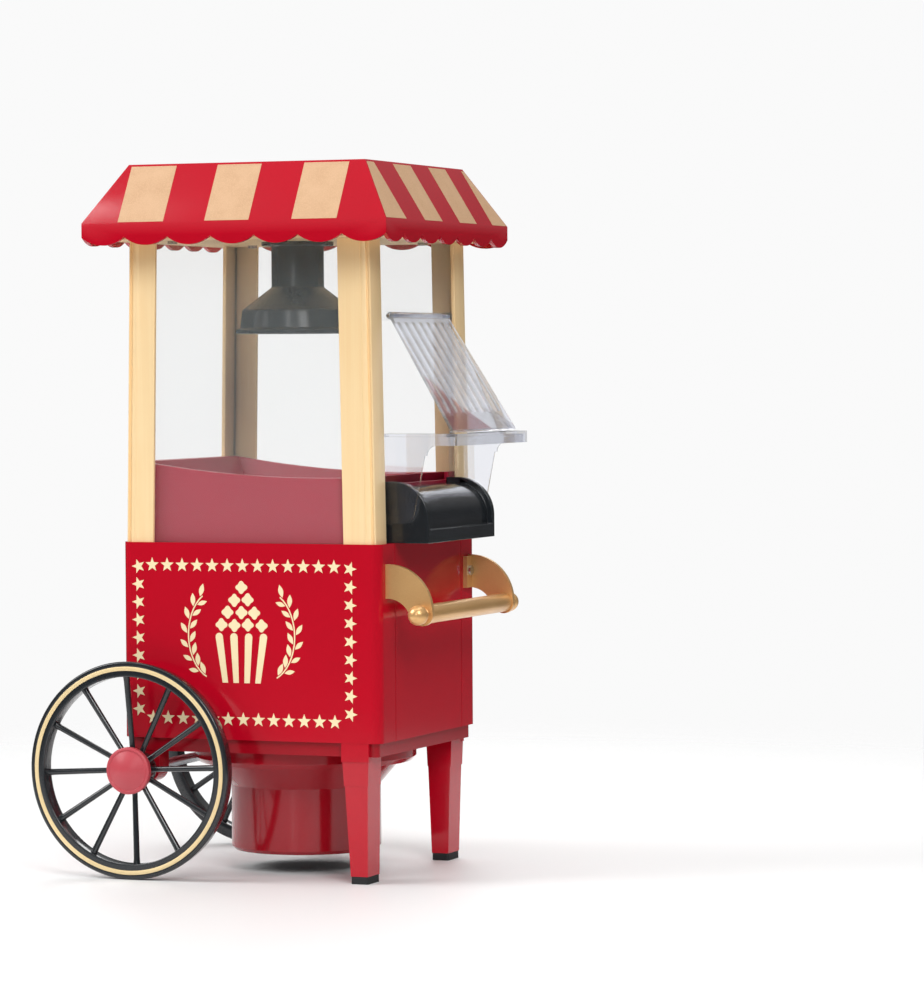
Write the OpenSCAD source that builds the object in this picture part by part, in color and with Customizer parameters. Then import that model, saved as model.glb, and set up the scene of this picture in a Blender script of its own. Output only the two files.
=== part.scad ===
// Table-top popcorn cart: a hot-air popper under a glazed cabinet, on two spoked wheels and two legs.
// Origin: the middle of the footprint, on the floor. +X runs to the chute, +Y to the far side, +Z up.

/* [Body] */
// Length of the body box, along X
body_l = 169.4; // [155:0.2:205]
// Depth of the body box, along Y
body_d = 152.6; // [145:0.2:185]
// Height of the body box
body_h = 118.2; // [100:0.2:145]
// How far the axle hangs below the body's lower edge
axle_drop = 18.5; // [16:0.1:30]
// Radius of the body's upright corners
body_corner_r = 6; // [5:0.5:12]
// Thickness of the moulded walls
wall = 2.5; // [2:0.1:3]
// How far the base cover drops below the body
cover_drop = 8.2; // [4:0.2:12]

/* [Cabinet] */
// Height of the corner posts
post_h = 181.6; // [150:0.2:220]
// How far the posts stand in from the body's ends
post_setback = 2.9; // [1:0.1:6]
// How far the posts stand in from the body's long sides
post_inset = 1.3; // [0.5:0.1:4]
// How far each end of the cabinet leans in at the top
cabinet_lean = 3; // [0:0.2:6]
// Width of a post on the long sides at the wheel end
post_w_wheel = 17.5; // [12:0.5:24]
// Width of a post on the long sides at the chute end
post_w_chute = 21; // [14:0.5:26]
// Width of a post on the end faces
post_w_end = 16.6; // [12:0.2:20]
// Thickness of the clear panes
pane_t = 1.8; // [1.2:0.1:2.4]
// Height of the hopper liner's edge at the chute
liner_h = 39; // [30:1:50]
// How much higher the liner's edge is at the wheel end
liner_rise = 10; // [2:1:14]

/* [Roof] */
// How far the scalloped skirt overhangs the body's ends
skirt_over_end = 14.6; // [8:0.1:22]
// How far the scalloped skirt overhangs the body's long sides
skirt_over_side = 21.6; // [12:0.1:28]
// Rise of the sloped roof above its skirt
roof_rise = 35.6; // [28:0.2:48]
// How far the roof's slope comes in at each end
roof_slope_end = 21.9; // [12:0.1:30]
// How far the roof's slope comes in on each long side
roof_slope_side = 20.8; // [12:0.1:30]
// Scallops along each side of the skirt
scallops = 7; // [5:1:9]
// Depth of the scallops
scallop_depth = 5; // [3:0.5:7]
// Radius of the measuring cup that closes the roof
cup_r = 28; // [22:0.5:30]

/* [Feed hood] */
// Radius of the feed tube
feed_tube_r = 16.1; // [12:0.1:20]
// Radius of the hood's flared edge
feed_flange_r = 38.2; // [30:0.2:44]
// Drop of the feed hood below the ceiling
feed_drop = 56.2; // [40:0.2:70]

/* [Outlet] */
// Width of the black chute
chute_w = 108; // [90:1:110]
// How far the chute stands out from the body
chute_reach = 22.1; // [16:0.1:30]
// Height of the chute's sides
chute_h = 36.6; // [30:0.2:44]
// How far the clear hood stands out from the body
hood_reach = 42.3; // [34:0.1:56]
// Height of the vent flap's hinge above the deck
flap_hinge_h = 135.6; // [120:0.2:150]
// Length of the vent flap
flap_l = 81.2; // [70:0.2:86]
// Angle of the closed vent flap from upright
flap_rake = 31.4; // [26:0.2:36]
// Slots in the vent flap
flap_slots = 8; // [5:1:8]

/* [Handle] */
// How far the bar stands out from the body
bar_reach = 23.5; // [18:0.5:32]
// Height of the bar below the deck
bar_drop = 41.5; // [36:0.5:50]
// Radius of the bar
bar_r = 5.7; // [4:0.1:7]
// Distance between the outer faces of the brackets
bracket_span = 135; // [110:1:140]

/* [Wheels and legs] */
// Radius of the wheels
wheel_r = 65.7; // [58:0.1:80]
// Axle distance in from the body's wheel end
axle_setback = 13.5; // [10:0.5:18]
// Distance between the outer faces of the wheels
track = 195.8; // [188:0.2:230]
// Thickness of a wheel's rim
rim_w = 10; // [8:0.5:12]
// Radius of the axle
axle_r = 3; // [2.5:0.1:4]
// Spokes in a wheel
spokes = 12; // [8:1:14]
// Width of a leg at the top
leg_w = 17.7; // [14:0.1:22]
// Height of the rubber feet
foot_h = 4.5; // [3:0.5:8]

/* [Popper] */
// Radius of the popping chamber
chamber_r = 43; // [36:0.5:44]
// Depth of the popping chamber
chamber_depth = 84; // [64:1:88]
// Radius of the steel air duct
duct_r = 58; // [54:0.5:62]
// Radius of the motor pot
pot_r = 46; // [42:0.5:52]
// Height of the motor pot's underside above the floor
pot_clear = 12; // [8:0.5:20]
// Radius of the impeller
impeller_r = 38; // [30:0.5:40]

/* [Hidden] */
$fn = 64;
seat = 0.3;           // gap where two pieces rest close together
run = 0.05;           // radial running clearance
hair = 0.02;          // keeps cuts through a face clean
sheet = 1.2;          // thickness of pressed metal

body_z = wheel_r + axle_drop;
body_cx = (wheel_r - axle_setback - hood_reach) / 2;
end_x = body_l / 2;
side_y = body_d / 2;
deck_z = body_z + body_h;
inner_l = body_l - 2 * wall;
inner_d = body_d - 2 * wall;
cover_z = body_z - cover_drop;
cover_l = inner_l - 2 * seat;
cover_d = inner_d - 2 * seat;
cover_rim = 8;
screw_x = end_x - 18.7;
screw_y = side_y - 28.3;
screw_r = 1.5;
boss_r = 4.5;

post_x = end_x - post_setback;
post_y = side_y - post_inset;
lean = atan(cabinet_lean / post_h);
cabinet_top = deck_z + post_h;
pane_y = post_y - wall - seat;
pane_x = post_x - wall - seat;
hood_w = 2 * (post_y - post_w_end - 0.5);

ceiling_z = cabinet_top + seat;
ceiling_top = ceiling_z + wall;
skirt_top = ceiling_top + 7.6;
skirt_l = body_l + 2 * skirt_over_end;
skirt_d = body_d + 2 * skirt_over_side;
skirt_h = 13.4;
roof_top = skirt_top + roof_rise;
crown_l = skirt_l - 2 * roof_slope_end;
crown_d = skirt_d - 2 * roof_slope_side;
roof_screw = 58;
cup_flange_r = cup_r + 5;
cup_depth = 29;
feed_x = -1;
feed_z = ceiling_z - feed_drop;
feed_bore_r = feed_tube_r - 2;

fan_x = 2.5;
duct_floor = cover_z - 6.8;
chamber_z = deck_z - chamber_depth;
motor_r = 18.5;
motor_z = cover_z - 26;
motor_plate_z = cover_z + 10;
coil_rings = [20, 28, 36];
shaft_r = 1.6;

liner_l = 2 * (pane_x - pane_t - 1.4);
liner_d = 2 * (pane_y - pane_t - seat);
liner_floor = deck_z + 1.5;
liner_top_chute = deck_z + liner_h;

chute_root = liner_l / 2 + seat;
chute_front = end_x + chute_reach;
chute_arc = chute_reach + 0.9;
chute_side_t = 4;

hinge_z = deck_z + flap_hinge_h;
barrel_r = 2.2;
hinge_pin_r = 1.2;
hinge_x = pane_x - (hinge_z - deck_z) * tan(lean) + seat + barrel_r;
flap_w_top = 90;
flap_w_low = 102;
slot_pitch = 11.5;
slot_w = 3.4;
hood_top = hinge_z - flap_l * cos(flap_rake) - 1.1;
hood_front = end_x + hood_reach;
hood_back = pane_x + seat;
hood_rail = 7;

bar_x = end_x + bar_reach;
bar_z = deck_z - bar_drop;
bracket_t = 3;
bracket_y = bracket_span / 2;
bar_core_r = 3;

wheel_x = -(end_x - axle_setback);
wheel_y = track / 2;
rim_in = wheel_r - 9.2;
band_out = wheel_r - 2.9;
band_in = wheel_r - 5.5;
band_deep = 0.6;
hub_r = 10.5;
hub_len = 18;
hub_cap_r = 14.2;
wheel_turn = 3;
bracket_out = side_y - 3.3;

leg_out_x = end_x - 8;
leg_seam = body_z - 25.7;
leg_top_out = side_y - 0.3;
switch_y = screw_y - boss_r - 13.5;
switch_z = body_z + 36;
gland_z = body_z + 18;
gland_y = -35;

// ---------------------------------------------------------------- shared shapes

// Moves a sub-part from the body's own centre line to the shared frame.
module at_body() {
    translate([body_cx, 0, 0]) children();
}

// Flat rectangle with true round corners.
module rounded_rect(l, d, r) {
    square([l - 2 * r, d], center = true);
    square([l, d - 2 * r], center = true);
    for (sx = [-1, 1], sy = [-1, 1])
        translate([sx * (l / 2 - r), sy * (d / 2 - r)]) circle(r = r);
}

// Outline in X and Z, extruded along Y from y0 to y1.
module across(y0, y1) {
    translate([0, y1, 0]) rotate([90, 0, 0]) linear_extrude(height = y1 - y0) children();
}

// Outline in Y and Z, extruded along X from x0 to x1.
module along(x0, x1) {
    translate([x0, 0, 0]) rotate([90, 0, 90]) linear_extrude(height = x1 - x0) children();
}

// Four-sided block whose sides slope from l0 x d0 at the bottom to l1 x d1 at the top.
module sloped_block(l0, d0, l1, d1, h) {
    intersection() {
        across(-max(d0, d1), max(d0, d1))
            polygon([[-l0 / 2, 0], [l0 / 2, 0], [l1 / 2, h], [-l1 / 2, h]]);
        along(-max(l0, l1), max(l0, l1))
            polygon([[-d0 / 2, 0], [d0 / 2, 0], [d1 / 2, h], [-d1 / 2, h]]);
    }
}

// Upright tube.
module tube(r_out, r_in, h) {
    difference() {
        cylinder(r = r_out, h = h);
        translate([0, 0, -1]) cylinder(r = r_in, h = h + 2);
    }
}

// Four copies at the corners of a rectangle.
module at_corners(x, y) {
    for (sx = [-1, 1], sy = [-1, 1]) translate([sx * x, sy * y, 0]) children();
}

// Pan-head screw pointing up, its head below z = 0.
module screw(shank) {
    translate([0, 0, -1.8]) cylinder(r = 3, h = 1.8);
    cylinder(r = screw_r, h = shank);
}

// ---------------------------------------------------------------- body and base

module body_shell() {
    color("crimson") at_body() difference() {
        union() {
            difference() {
                translate([0, 0, body_z]) linear_extrude(height = body_h)
                    rounded_rect(body_l, body_d, body_corner_r);
                translate([0, 0, body_z - 1]) linear_extrude(height = body_h - wall + 1)
                    rounded_rect(inner_l, inner_d, body_corner_r - wall);
            }
            translate([0, 0, body_z + seat]) at_corners(screw_x, screw_y)
                cylinder(r = boss_r, h = body_h - wall);
        }
        translate([fan_x, 0, deck_z - wall - 1]) cylinder(r = chamber_r + 3.3, h = wall + 2);
        translate([0, 0, body_z - 1]) at_corners(screw_x, screw_y)
            cylinder(r = screw_r + run, h = 16);
        for (sy = [-1, 1]) {
            translate([end_x - wall - 1, sy * (bracket_y - 7), bar_z + 20]) rotate([0, 90, 0])
                cylinder(r = screw_r + run, h = wall + 2);
            translate([end_x - 0.4, sy * (side_y - 23.5) - 0.35, body_z - 1])
                cube([1, 0.7, body_h + 2]);
        }
        translate([-end_x - 1, switch_y - 10.3, switch_z - 15.3]) cube([wall + 2, 20.6, 30.6]);
        translate([-end_x - 1, gland_y, gland_z]) rotate([0, 90, 0])
            cylinder(r = 5 + run, h = wall + 2);
    }
}

module base_cover() {
    color("firebrick") at_body() difference() {
        translate([0, 0, cover_z]) linear_extrude(height = cover_drop + cover_rim - wall)
            rounded_rect(cover_l, cover_d, body_corner_r - wall - seat);
        difference() {
            translate([0, 0, cover_z + wall]) linear_extrude(height = cover_drop + cover_rim)
                rounded_rect(cover_l - 2 * wall, cover_d - 2 * wall,
                             max(body_corner_r - 2 * wall - seat, 0.5));
            at_corners(screw_x, screw_y) cylinder(r = boss_r, h = body_z);
        }
        translate([fan_x, 0, cover_z - 1]) cylinder(r = duct_r + 3.9, h = wall + 2);
        translate([0, 0, cover_z - 1]) at_corners(screw_x, screw_y)
            cylinder(r = screw_r + run, h = cover_drop + 2);
    }
}

module base_screws() {
    color("silver") at_body() translate([0, 0, cover_z]) at_corners(screw_x, screw_y) screw(18);
}

// Pot under the body that holds the fan: a collar, a shoulder and a deep round cup.
module fan_housing() {
    pot_top = cover_z - 24;
    shoulder = cover_z - 10;
    t = 2.2;
    color("firebrick") at_body() translate([fan_x, 0, 0]) rotate_extrude($fn = 96) polygon([
        [pot_r - t - 2.8, pot_clear + 3.2], [pot_r - t, pot_clear + 3.2], [pot_r - t, pot_clear],
        [pot_r - 2, pot_clear], [pot_r, pot_clear + 2], [pot_r, pot_top],
        [duct_r, shoulder], [duct_r + 7, shoulder], [duct_r + 10, shoulder + 3],
        [duct_r + 10, cover_z], [duct_r + 3.6, cover_z], [duct_r + 3.6, cover_z + cover_drop],
        [duct_r + 1, cover_z + cover_drop], [duct_r + 1, duct_floor],
        [duct_r - t, duct_floor], [pot_r - t, pot_top + 1.5],
        [pot_r - t, pot_clear + 5.5], [pot_r - t - 2.8, pot_clear + 5.5]
    ]);
}

module intake_grille() {
    r = pot_r - 2.6;
    color("dimgray") at_body() translate([fan_x, 0, pot_clear + 0.4]) difference() {
        cylinder(r = r, h = 2.5);
        for (i = [-5 : 5]) let (half = sqrt(pow(r - 6, 2) - pow(6 * i, 2)))
            translate([-half, 6 * i - 1.5, -1]) cube([2 * half, 3, 5]);
    }
}

// Tapered square leg. side is -1 for the near one and 1 for the far one.
module leg(side) {
    depth_top = 20;
    mid = leg_out_x - leg_w / 2;
    foot_half = 5.5;
    module taper_x(top_half) {
        polygon([[mid - foot_half + 1, foot_h], [mid + foot_half + 1, foot_h],
                 [mid + top_half, cover_z], [mid - top_half, cover_z]]);
    }
    module taper_y(grow) {
        polygon([[leg_top_out - 21 + grow, foot_h], [leg_top_out - 3 + grow, foot_h],
                 [leg_top_out + grow - 0.4, cover_z], [leg_top_out - depth_top, cover_z]]);
    }
    at_body() scale_side(side) {
        intersection() {
            across(0, side_y) taper_x(leg_w / 2 - 0.9);
            along(0, end_x) taper_y(-0.3);
        }
        intersection() {
            across(0, side_y) taper_x(leg_w / 2 - 0.3);
            along(0, end_x) taper_y(0);
            translate([0, 0, leg_seam]) cube([end_x, side_y, cover_z - leg_seam]);
        }
        translate([mid - leg_w / 2, cover_d / 2 + seat, cover_z - hair])
            cube([leg_w, leg_top_out - cover_d / 2 - seat, cover_drop + hair]);
        translate([mid - leg_w / 2, leg_top_out - 4, cover_z - 3])
            cube([leg_w, 4, 3]);
    }
}

// Keeps the far side as drawn and mirrors it for the near side.
module scale_side(side) {
    if (side > 0) children();
    else mirror([0, 1, 0]) children();
}

module leg_near() {
    color("crimson") leg(-1);
}

module leg_far() {
    color("crimson") leg(1);
}

module foot_pads() {
    mid = leg_out_x - leg_w / 2 + 1;
    color("black") at_body() for (side = [-1, 1]) scale_side(side)
        translate([mid, leg_top_out - 12.3, 0]) linear_extrude(height = foot_h)
            rounded_rect(11, 18, 1.5);
}

// ---------------------------------------------------------------- wheels

module axle() {
    reach = wheel_y - 3.3;
    color("silver") at_body() translate([wheel_x, reach, wheel_r]) rotate([90, 0, 0])
        cylinder(r = axle_r, h = 2 * reach);
}

module axle_bracket(side) {
    width = 13;
    half = 9.2;
    at_body() scale_side(side) difference() {
        across(bracket_out - width, bracket_out) union() {
            translate([wheel_x, wheel_r]) circle(r = half);
            translate([wheel_x - half, wheel_r]) square([2 * half, cover_z - wheel_r]);
        }
        translate([wheel_x, bracket_out + 1, wheel_r]) rotate([90, 0, 0])
            cylinder(r = axle_r + run, h = width + 2);
    }
}

module axle_bracket_near() {
    color("firebrick") axle_bracket(-1);
}

module axle_bracket_far() {
    color("firebrick") axle_bracket(1);
}

// Places a shape drawn with its outer face at z = 0 and its outward side up on a wheel's axis.
module on_wheel(side) {
    at_body() translate([wheel_x, side * wheel_y, wheel_r]) rotate([side > 0 ? -90 : 90, 0, 0])
        children();
}

module axle_spacers() {
    spacer = wheel_y - hub_len - bracket_out - 2 * seat;
    color("black") for (side = [-1, 1]) on_wheel(side)
        translate([0, 0, -hub_len - seat - spacer]) tube(axle_r + 3, axle_r + run, spacer);
}

module axle_push_nuts() {
    color("silver") for (side = [-1, 1]) on_wheel(side)
        translate([0, 0, -4.8]) tube(axle_r + 2.2, axle_r + 0.02, 1);
}

module wheel(side) {
    tip_r = 1.9;
    root_r = 1.6;
    dish = 3;
    span = rim_in - hub_r + 2;
    on_wheel(side) difference() {
        union() {
            rotate_extrude($fn = 120) polygon([
                [rim_in, -0.8], [rim_in + 0.8, 0], [wheel_r - 1, 0], [wheel_r, -1.2],
                [wheel_r - 3.7, -rim_w], [rim_in + 0.8, -rim_w], [rim_in, -rim_w + 1]
            ]);
            translate([0, 0, -hub_len]) cylinder(r = hub_r, h = hub_len - 3.2);
            for (i = [0 : spokes - 1])
                rotate([0, 0, 90 - side * wheel_turn + i * 360 / spokes])
                    translate([hub_r - 1, 0, -5.2 - dish])
                        rotate([0, 90 - atan(dish / span), 0])
                            cylinder(r1 = root_r, r2 = tip_r, h = span / cos(atan(dish / span)), $fn = 24);
        }
        translate([0, 0, -hub_len - 1]) cylinder(r = axle_r + run, h = hub_len + 2);
        translate([0, 0, -5.6]) cylinder(r = 6.2, h = 6);
        translate([0, 0, -band_deep]) tube(band_out, band_in, 2);
    }
}

module wheel_near() {
    color("black") wheel(-1);
}

module wheel_far() {
    color("black") wheel(1);
}

module wheel_band(side) {
    on_wheel(side) translate([0, 0, -band_deep]) rotate_extrude($fn = 120)
        polygon([[band_in + hair, 0], [band_out - hair, 0], [band_out - hair, band_deep],
                 [band_out - 0.8, band_deep + 0.3], [band_in + 0.8, band_deep + 0.3],
                 [band_in + hair, band_deep]]);
}

module wheel_band_near() {
    color("wheat") wheel_band(-1);
}

module wheel_band_far() {
    color("wheat") wheel_band(1);
}

module hub_cap(side) {
    rise = 4.1;
    dome_r = (pow(hub_cap_r, 2) + pow(rise, 2)) / (2 * rise);
    on_wheel(side) {
        translate([0, 0, -2.9]) cylinder(r = hub_cap_r, h = 2.9);
        intersection() {
            translate([0, 0, rise - dome_r]) sphere(r = dome_r, $fn = 96);
            translate([0, 0, -1]) cylinder(r = hub_cap_r, h = rise + 2);
        }
    }
}

module hub_cap_near() {
    color("indianred") hub_cap(-1);
}

module hub_cap_far() {
    color("indianred") hub_cap(1);
}

// ---------------------------------------------------------------- handle

// Crescent bracket with a screwed flange on the body's end face.
module handle_bracket(side) {
    outer_r = bar_reach + 5;
    outer_c = [end_x + 1.3, bar_z + 1.1];
    inner_r = 15.1;
    inner_c = [end_x + 1.3, bar_z - 5.9];
    flange_w = 11;
    at_body() scale_side(side) difference() {
        union() {
            across(bracket_y - bracket_t, bracket_y) {
                difference() {
                    intersection() {
                        translate(outer_c) circle(r = outer_r, $fn = 96);
                        translate([end_x, bar_z]) square(outer_r + 2);
                    }
                    translate(inner_c) circle(r = inner_r);
                }
                translate([bar_x, bar_z]) circle(r = bar_r + 1);
            }
            translate([end_x, bracket_y - flange_w, inner_c[1] + inner_r])
                cube([wall, flange_w, outer_c[1] + outer_r - inner_c[1] - inner_r - 1]);
        }
        translate([bar_x, bracket_y + 1, bar_z]) rotate([90, 0, 0])
            cylinder(r = bar_core_r + run, h = bracket_t + 2);
        translate([end_x - 1, bracket_y - 7, bar_z + 20]) rotate([0, 90, 0])
            cylinder(r = screw_r + run, h = wall + 2);
    }
}

module handle_bracket_near() {
    color("goldenrod") handle_bracket(-1);
}

module handle_bracket_far() {
    color("goldenrod") handle_bracket(1);
}

module handle_bar() {
    between = bracket_span - 2 * bracket_t;
    color("goldenrod") at_body() translate([bar_x, 0, bar_z]) rotate([90, 0, 0]) {
        cylinder(r = bar_r, h = between, center = true);
        cylinder(r = bar_core_r, h = bracket_span, center = true);
    }
}

module handle_end_caps() {
    ball_r = bar_r + 0.3;
    color("goldenrod") at_body() for (side = [-1, 1]) scale_side(side)
        translate([bar_x, bracket_y, bar_z]) rotate([-90, 0, 0]) {
            cylinder(r = bar_core_r + 1.6, h = 3.5);
            translate([0, 0, 6.6]) sphere(r = ball_r);
        }
}

module handle_screws() {
    color("silver") at_body() for (side = [-1, 1]) scale_side(side)
        translate([end_x + wall, bracket_y - 7, bar_z + 20]) rotate([0, -90, 0]) screw(9);
}

// ---------------------------------------------------------------- cabinet

// Angle-section corner post. sx and sy say which corner it stands at.
module corner_post(sx, sy, width) {
    r = 3;
    at_body() intersection() {
        translate([0, 0, deck_z]) linear_extrude(height = post_h) square(2 * body_l, center = true);
        translate([sx * post_x, sy * post_y, deck_z]) rotate([0, -sx * lean, 0])
            translate([0, 0, -3]) linear_extrude(height = post_h + 6)
                corner_section(sx, sy, width, r);
    }
}

// Angle section with its outer corner at the origin.
module corner_section(sx, sy, width, r) {
    mirror([sx > 0 ? 0 : 1, 0]) mirror([0, sy > 0 ? 0 : 1]) difference() {
        union() {
            translate([-width, -post_w_end]) square([width - r, post_w_end]);
            translate([-width, -post_w_end]) square([width, post_w_end - r]);
            translate([-r, -r]) circle(r = r);
        }
        translate([-width - 1, -post_w_end - 1])
            square([width + 1 - wall, post_w_end + 1 - wall]);
    }
}

module post_near_wheel_end() {
    color("burlywood") corner_post(-1, -1, post_w_wheel);
}

module post_near_chute_end() {
    color("burlywood") corner_post(1, -1, post_w_chute);
}

module post_far_wheel_end() {
    color("burlywood") corner_post(-1, 1, post_w_wheel);
}

module post_far_chute_end() {
    color("burlywood") corner_post(1, 1, post_w_chute);
}

// Pane on a long side, tapered with the posts.
module side_pane(side) {
    low = pane_x;
    top = pane_x - cabinet_lean;
    at_body() scale_side(side) across(pane_y - pane_t, pane_y)
        polygon([[-low, deck_z], [low, deck_z], [top, cabinet_top], [-top, cabinet_top]]);
}

module pane_near() {
    color("lightblue", 0.3) side_pane(-1);
}

module pane_far() {
    color("lightblue", 0.3) side_pane(1);
}

// Pane on an end, drawn for the chute end and leaning in with the posts.
module end_pane() {
    half = pane_y - pane_t - seat;
    intersection() {
        across(-half, half) polygon([
            [pane_x - pane_t, deck_z], [pane_x, deck_z],
            [pane_x - cabinet_lean, cabinet_top], [pane_x - cabinet_lean - pane_t, cabinet_top]
        ]);
        children();
    }
}

module pane_wheel_end() {
    color("lightblue", 0.3) at_body() mirror([1, 0, 0]) end_pane()
        translate([0, -body_d, 0]) cube([body_l, 2 * body_d, 2 * roof_top]);
}

// The chute end's pane stops above the outlet and carries the flap's two ears.
module pane_chute_end() {
    outlet_h = flap_hinge_h - 3;
    ear_y = flap_w_top / 2 + 0.5;
    ear_r = 2.8;
    color("lightblue", 0.3) at_body() difference() {
        union() {
            end_pane() difference() {
                translate([0, -body_d, 0]) cube([body_l, 2 * body_d, 2 * roof_top]);
                translate([0, -chute_w / 2 - seat, deck_z - 1])
                    cube([body_l, chute_w + 2 * seat, outlet_h + 1]);
            }
            for (side = [-1, 1]) scale_side(side) across(ear_y, ear_y + 2.5) {
                translate([hinge_x, hinge_z]) circle(r = ear_r);
                translate([hinge_x - ear_r - 0.6, hinge_z - ear_r]) square([ear_r + 0.6, 2 * ear_r]);
            }
        }
        translate([hinge_x, 0, hinge_z]) rotate([90, 0, 0])
            cylinder(r = hinge_pin_r + hair, h = 4 * ear_y, center = true);
    }
}

// Open tray inside the panes that leads popped corn to the chute.
module hopper_liner() {
    mouth = chamber_r + 3;
    slope_x = liner_l / 2 - 4;
    slope_y = liner_d / 2 - 4;
    rim_z = liner_top_chute + liner_rise;
    bowl_h = rim_z - liner_floor - wall;
    arc_r = 700;
    color("crimson") at_body() difference() {
        translate([-liner_l / 2, -liner_d / 2, deck_z + hair])
            cube([liner_l, liner_d, rim_z - deck_z]);
        translate([0, 0, liner_floor + wall])
            sloped_block(2 * mouth + 8, 2 * mouth + 8, 2 * slope_x + 3, 2 * slope_y + 3, bowl_h + hair);
        difference() {
            translate([-liner_l / 2 + wall, -liner_d / 2 + wall, deck_z - 1])
                cube([liner_l - 2 * wall, liner_d - 2 * wall, rim_z]);
            translate([0, 0, liner_floor]) sloped_block(2 * mouth + 8 + 2 * wall, 2 * mouth + 8 + 2 * wall,
                2 * slope_x + 3 + 2 * wall, 2 * slope_y + 3 + 2 * wall, bowl_h + wall + 1);
        }
        translate([fan_x, 0, deck_z - 1]) cylinder(r = chamber_r + 1, h = 2 * wall + 4);
        translate([42, 0, liner_top_chute + arc_r]) rotate([90, 0, 0])
            cylinder(r = arc_r, h = 2 * liner_d, center = true, $fn = 720);
        translate([liner_l / 2 - wall - 1, -chute_w / 2, liner_top_chute - 4])
            cube([wall + 2, chute_w, 20]);
    }
}

// ---------------------------------------------------------------- outlet

// Black spout: a curved floor between two higher sides, with a lip along its foot.
module chute() {
    floor_drop = 3.5;
    shell = 2.4;
    lip_h = 8;
    module outline(inset) {
        centre_x = chute_front - chute_arc;
        centre_h = chute_h - chute_arc;
        translate([centre_x, deck_z + centre_h]) circle(r = chute_arc - inset, $fn = 96);
        translate([chute_root, deck_z - 2])
            square([centre_x - chute_root + hair, chute_h + 2 - inset]);
        translate([chute_root, deck_z - 2])
            square([chute_front - inset - chute_root, centre_h + 2]);
    }
    module trimmed(inset) {
        intersection() {
            outline(inset);
            translate([chute_root, deck_z + hair]) square([chute_front, chute_h + 5]);
        }
    }
    color("#1e2022") at_body() {
        for (side = [-1, 1]) scale_side(side)
            across(chute_w / 2 - chute_side_t, chute_w / 2) trimmed(0);
        across(-chute_w / 2 + 1, chute_w / 2 - 1) difference() {
            trimmed(floor_drop);
            translate([-hair, -1]) outline(floor_drop + shell - 1);
        }
        translate([chute_front - floor_drop - 1, -chute_w / 2 + 1, deck_z + hair])
            cube([floor_drop + 1, chute_w - 2, lip_h]);
    }
}

// Clear surround: two cheeks outside the chute, tied by a rail that the flap rests on.
module outlet_hood() {
    half = hood_w / 2;
    corner_r = 8;
    rake = 11.5;
    low_z = deck_z + 11.8;
    corner = [end_x + 6.8, low_z + corner_r];
    tangent = corner + corner_r * [cos(rake), -sin(rake)];
    rail_z = hood_top - hood_rail;
    reach = (rail_z - tangent[1]) * tan(rake);
    edge_x = tangent[0] + reach;
    fillet = 6;
    ledge = half - flap_w_low / 2 + 2.5;
    module cheek() {
        polygon([[hood_back, low_z], [corner[0], low_z], corner, tangent, [edge_x, rail_z + 1],
                 [hood_back, rail_z + 1]]);
        translate(corner) circle(r = corner_r);
        translate([hood_back, rail_z]) square([hood_front - hood_back, hood_rail]);
        difference() {
            translate([edge_x - 2, rail_z - fillet]) square([fillet + 2, fillet + 1]);
            translate([edge_x + fillet, rail_z - fillet]) circle(r = fillet);
        }
    }
    color("lightblue", 0.3) at_body() {
        for (side = [-1, 1]) scale_side(side) {
            across(half - pane_t, half) cheek();
            translate([hood_back, half - ledge, hood_top - pane_t])
                cube([hood_front - hood_back, ledge, pane_t]);
        }
        translate([hood_front - pane_t, -half, rail_z]) cube([pane_t, hood_w, hood_rail]);
        translate([hinge_x + flap_l * sin(flap_rake) - 5, -half, hood_top - pane_t])
            cube([hood_front - hinge_x - flap_l * sin(flap_rake) + 5, hood_w, pane_t]);
    }
}

module vent_flap() {
    first = -(flap_slots - 1) / 2 * slot_pitch;
    slot_top = 5;
    slot_len = flap_l - 18;
    color("lightcyan", 0.4) at_body() translate([hinge_x, 0, hinge_z])
        rotate([0, -flap_rake, 0]) difference() {
            union() {
                along(-pane_t / 2, pane_t / 2) polygon([
                    [-flap_w_low / 2, -flap_l], [flap_w_low / 2, -flap_l],
                    [flap_w_top / 2, -1], [-flap_w_top / 2, -1]
                ]);
                rotate([90, 0, 0]) cylinder(r = barrel_r, h = flap_w_top, center = true);
            }
            rotate([90, 0, 0]) cylinder(r = hinge_pin_r + run, h = flap_w_low, center = true);
            for (i = [0 : flap_slots - 1]) along(-3, 3) {
                translate([first + i * slot_pitch - slot_w / 2, -slot_top - slot_len])
                    square([slot_w, slot_len]);
            }
        }
}

module flap_hinge_pins() {
    ear_y = flap_w_top / 2 + 0.5;
    color("silver") at_body() for (side = [-1, 1]) scale_side(side)
        translate([hinge_x, ear_y - 10, hinge_z]) rotate([-90, 0, 0])
            cylinder(r = hinge_pin_r, h = 12.8);
}

// ---------------------------------------------------------------- roof and feed

// One side of the skirt as a flat outline: a band with round lobes along its foot.
module skirt_outline(width) {
    pitch = width / scallops;
    lobe_r = (pow(pitch / 2, 2) + pow(scallop_depth, 2)) / (2 * scallop_depth);
    low = skirt_top - skirt_h;
    intersection() {
        translate([-width / 2, low - 1]) square([width, skirt_h + 1]);
        union() {
            translate([-width / 2, low + scallop_depth]) square([width, skirt_h - scallop_depth]);
            for (i = [0 : scallops - 1])
                translate([-width / 2 + (i + 0.5) * pitch, low + lobe_r]) circle(r = lobe_r);
        }
    }
}

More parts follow.
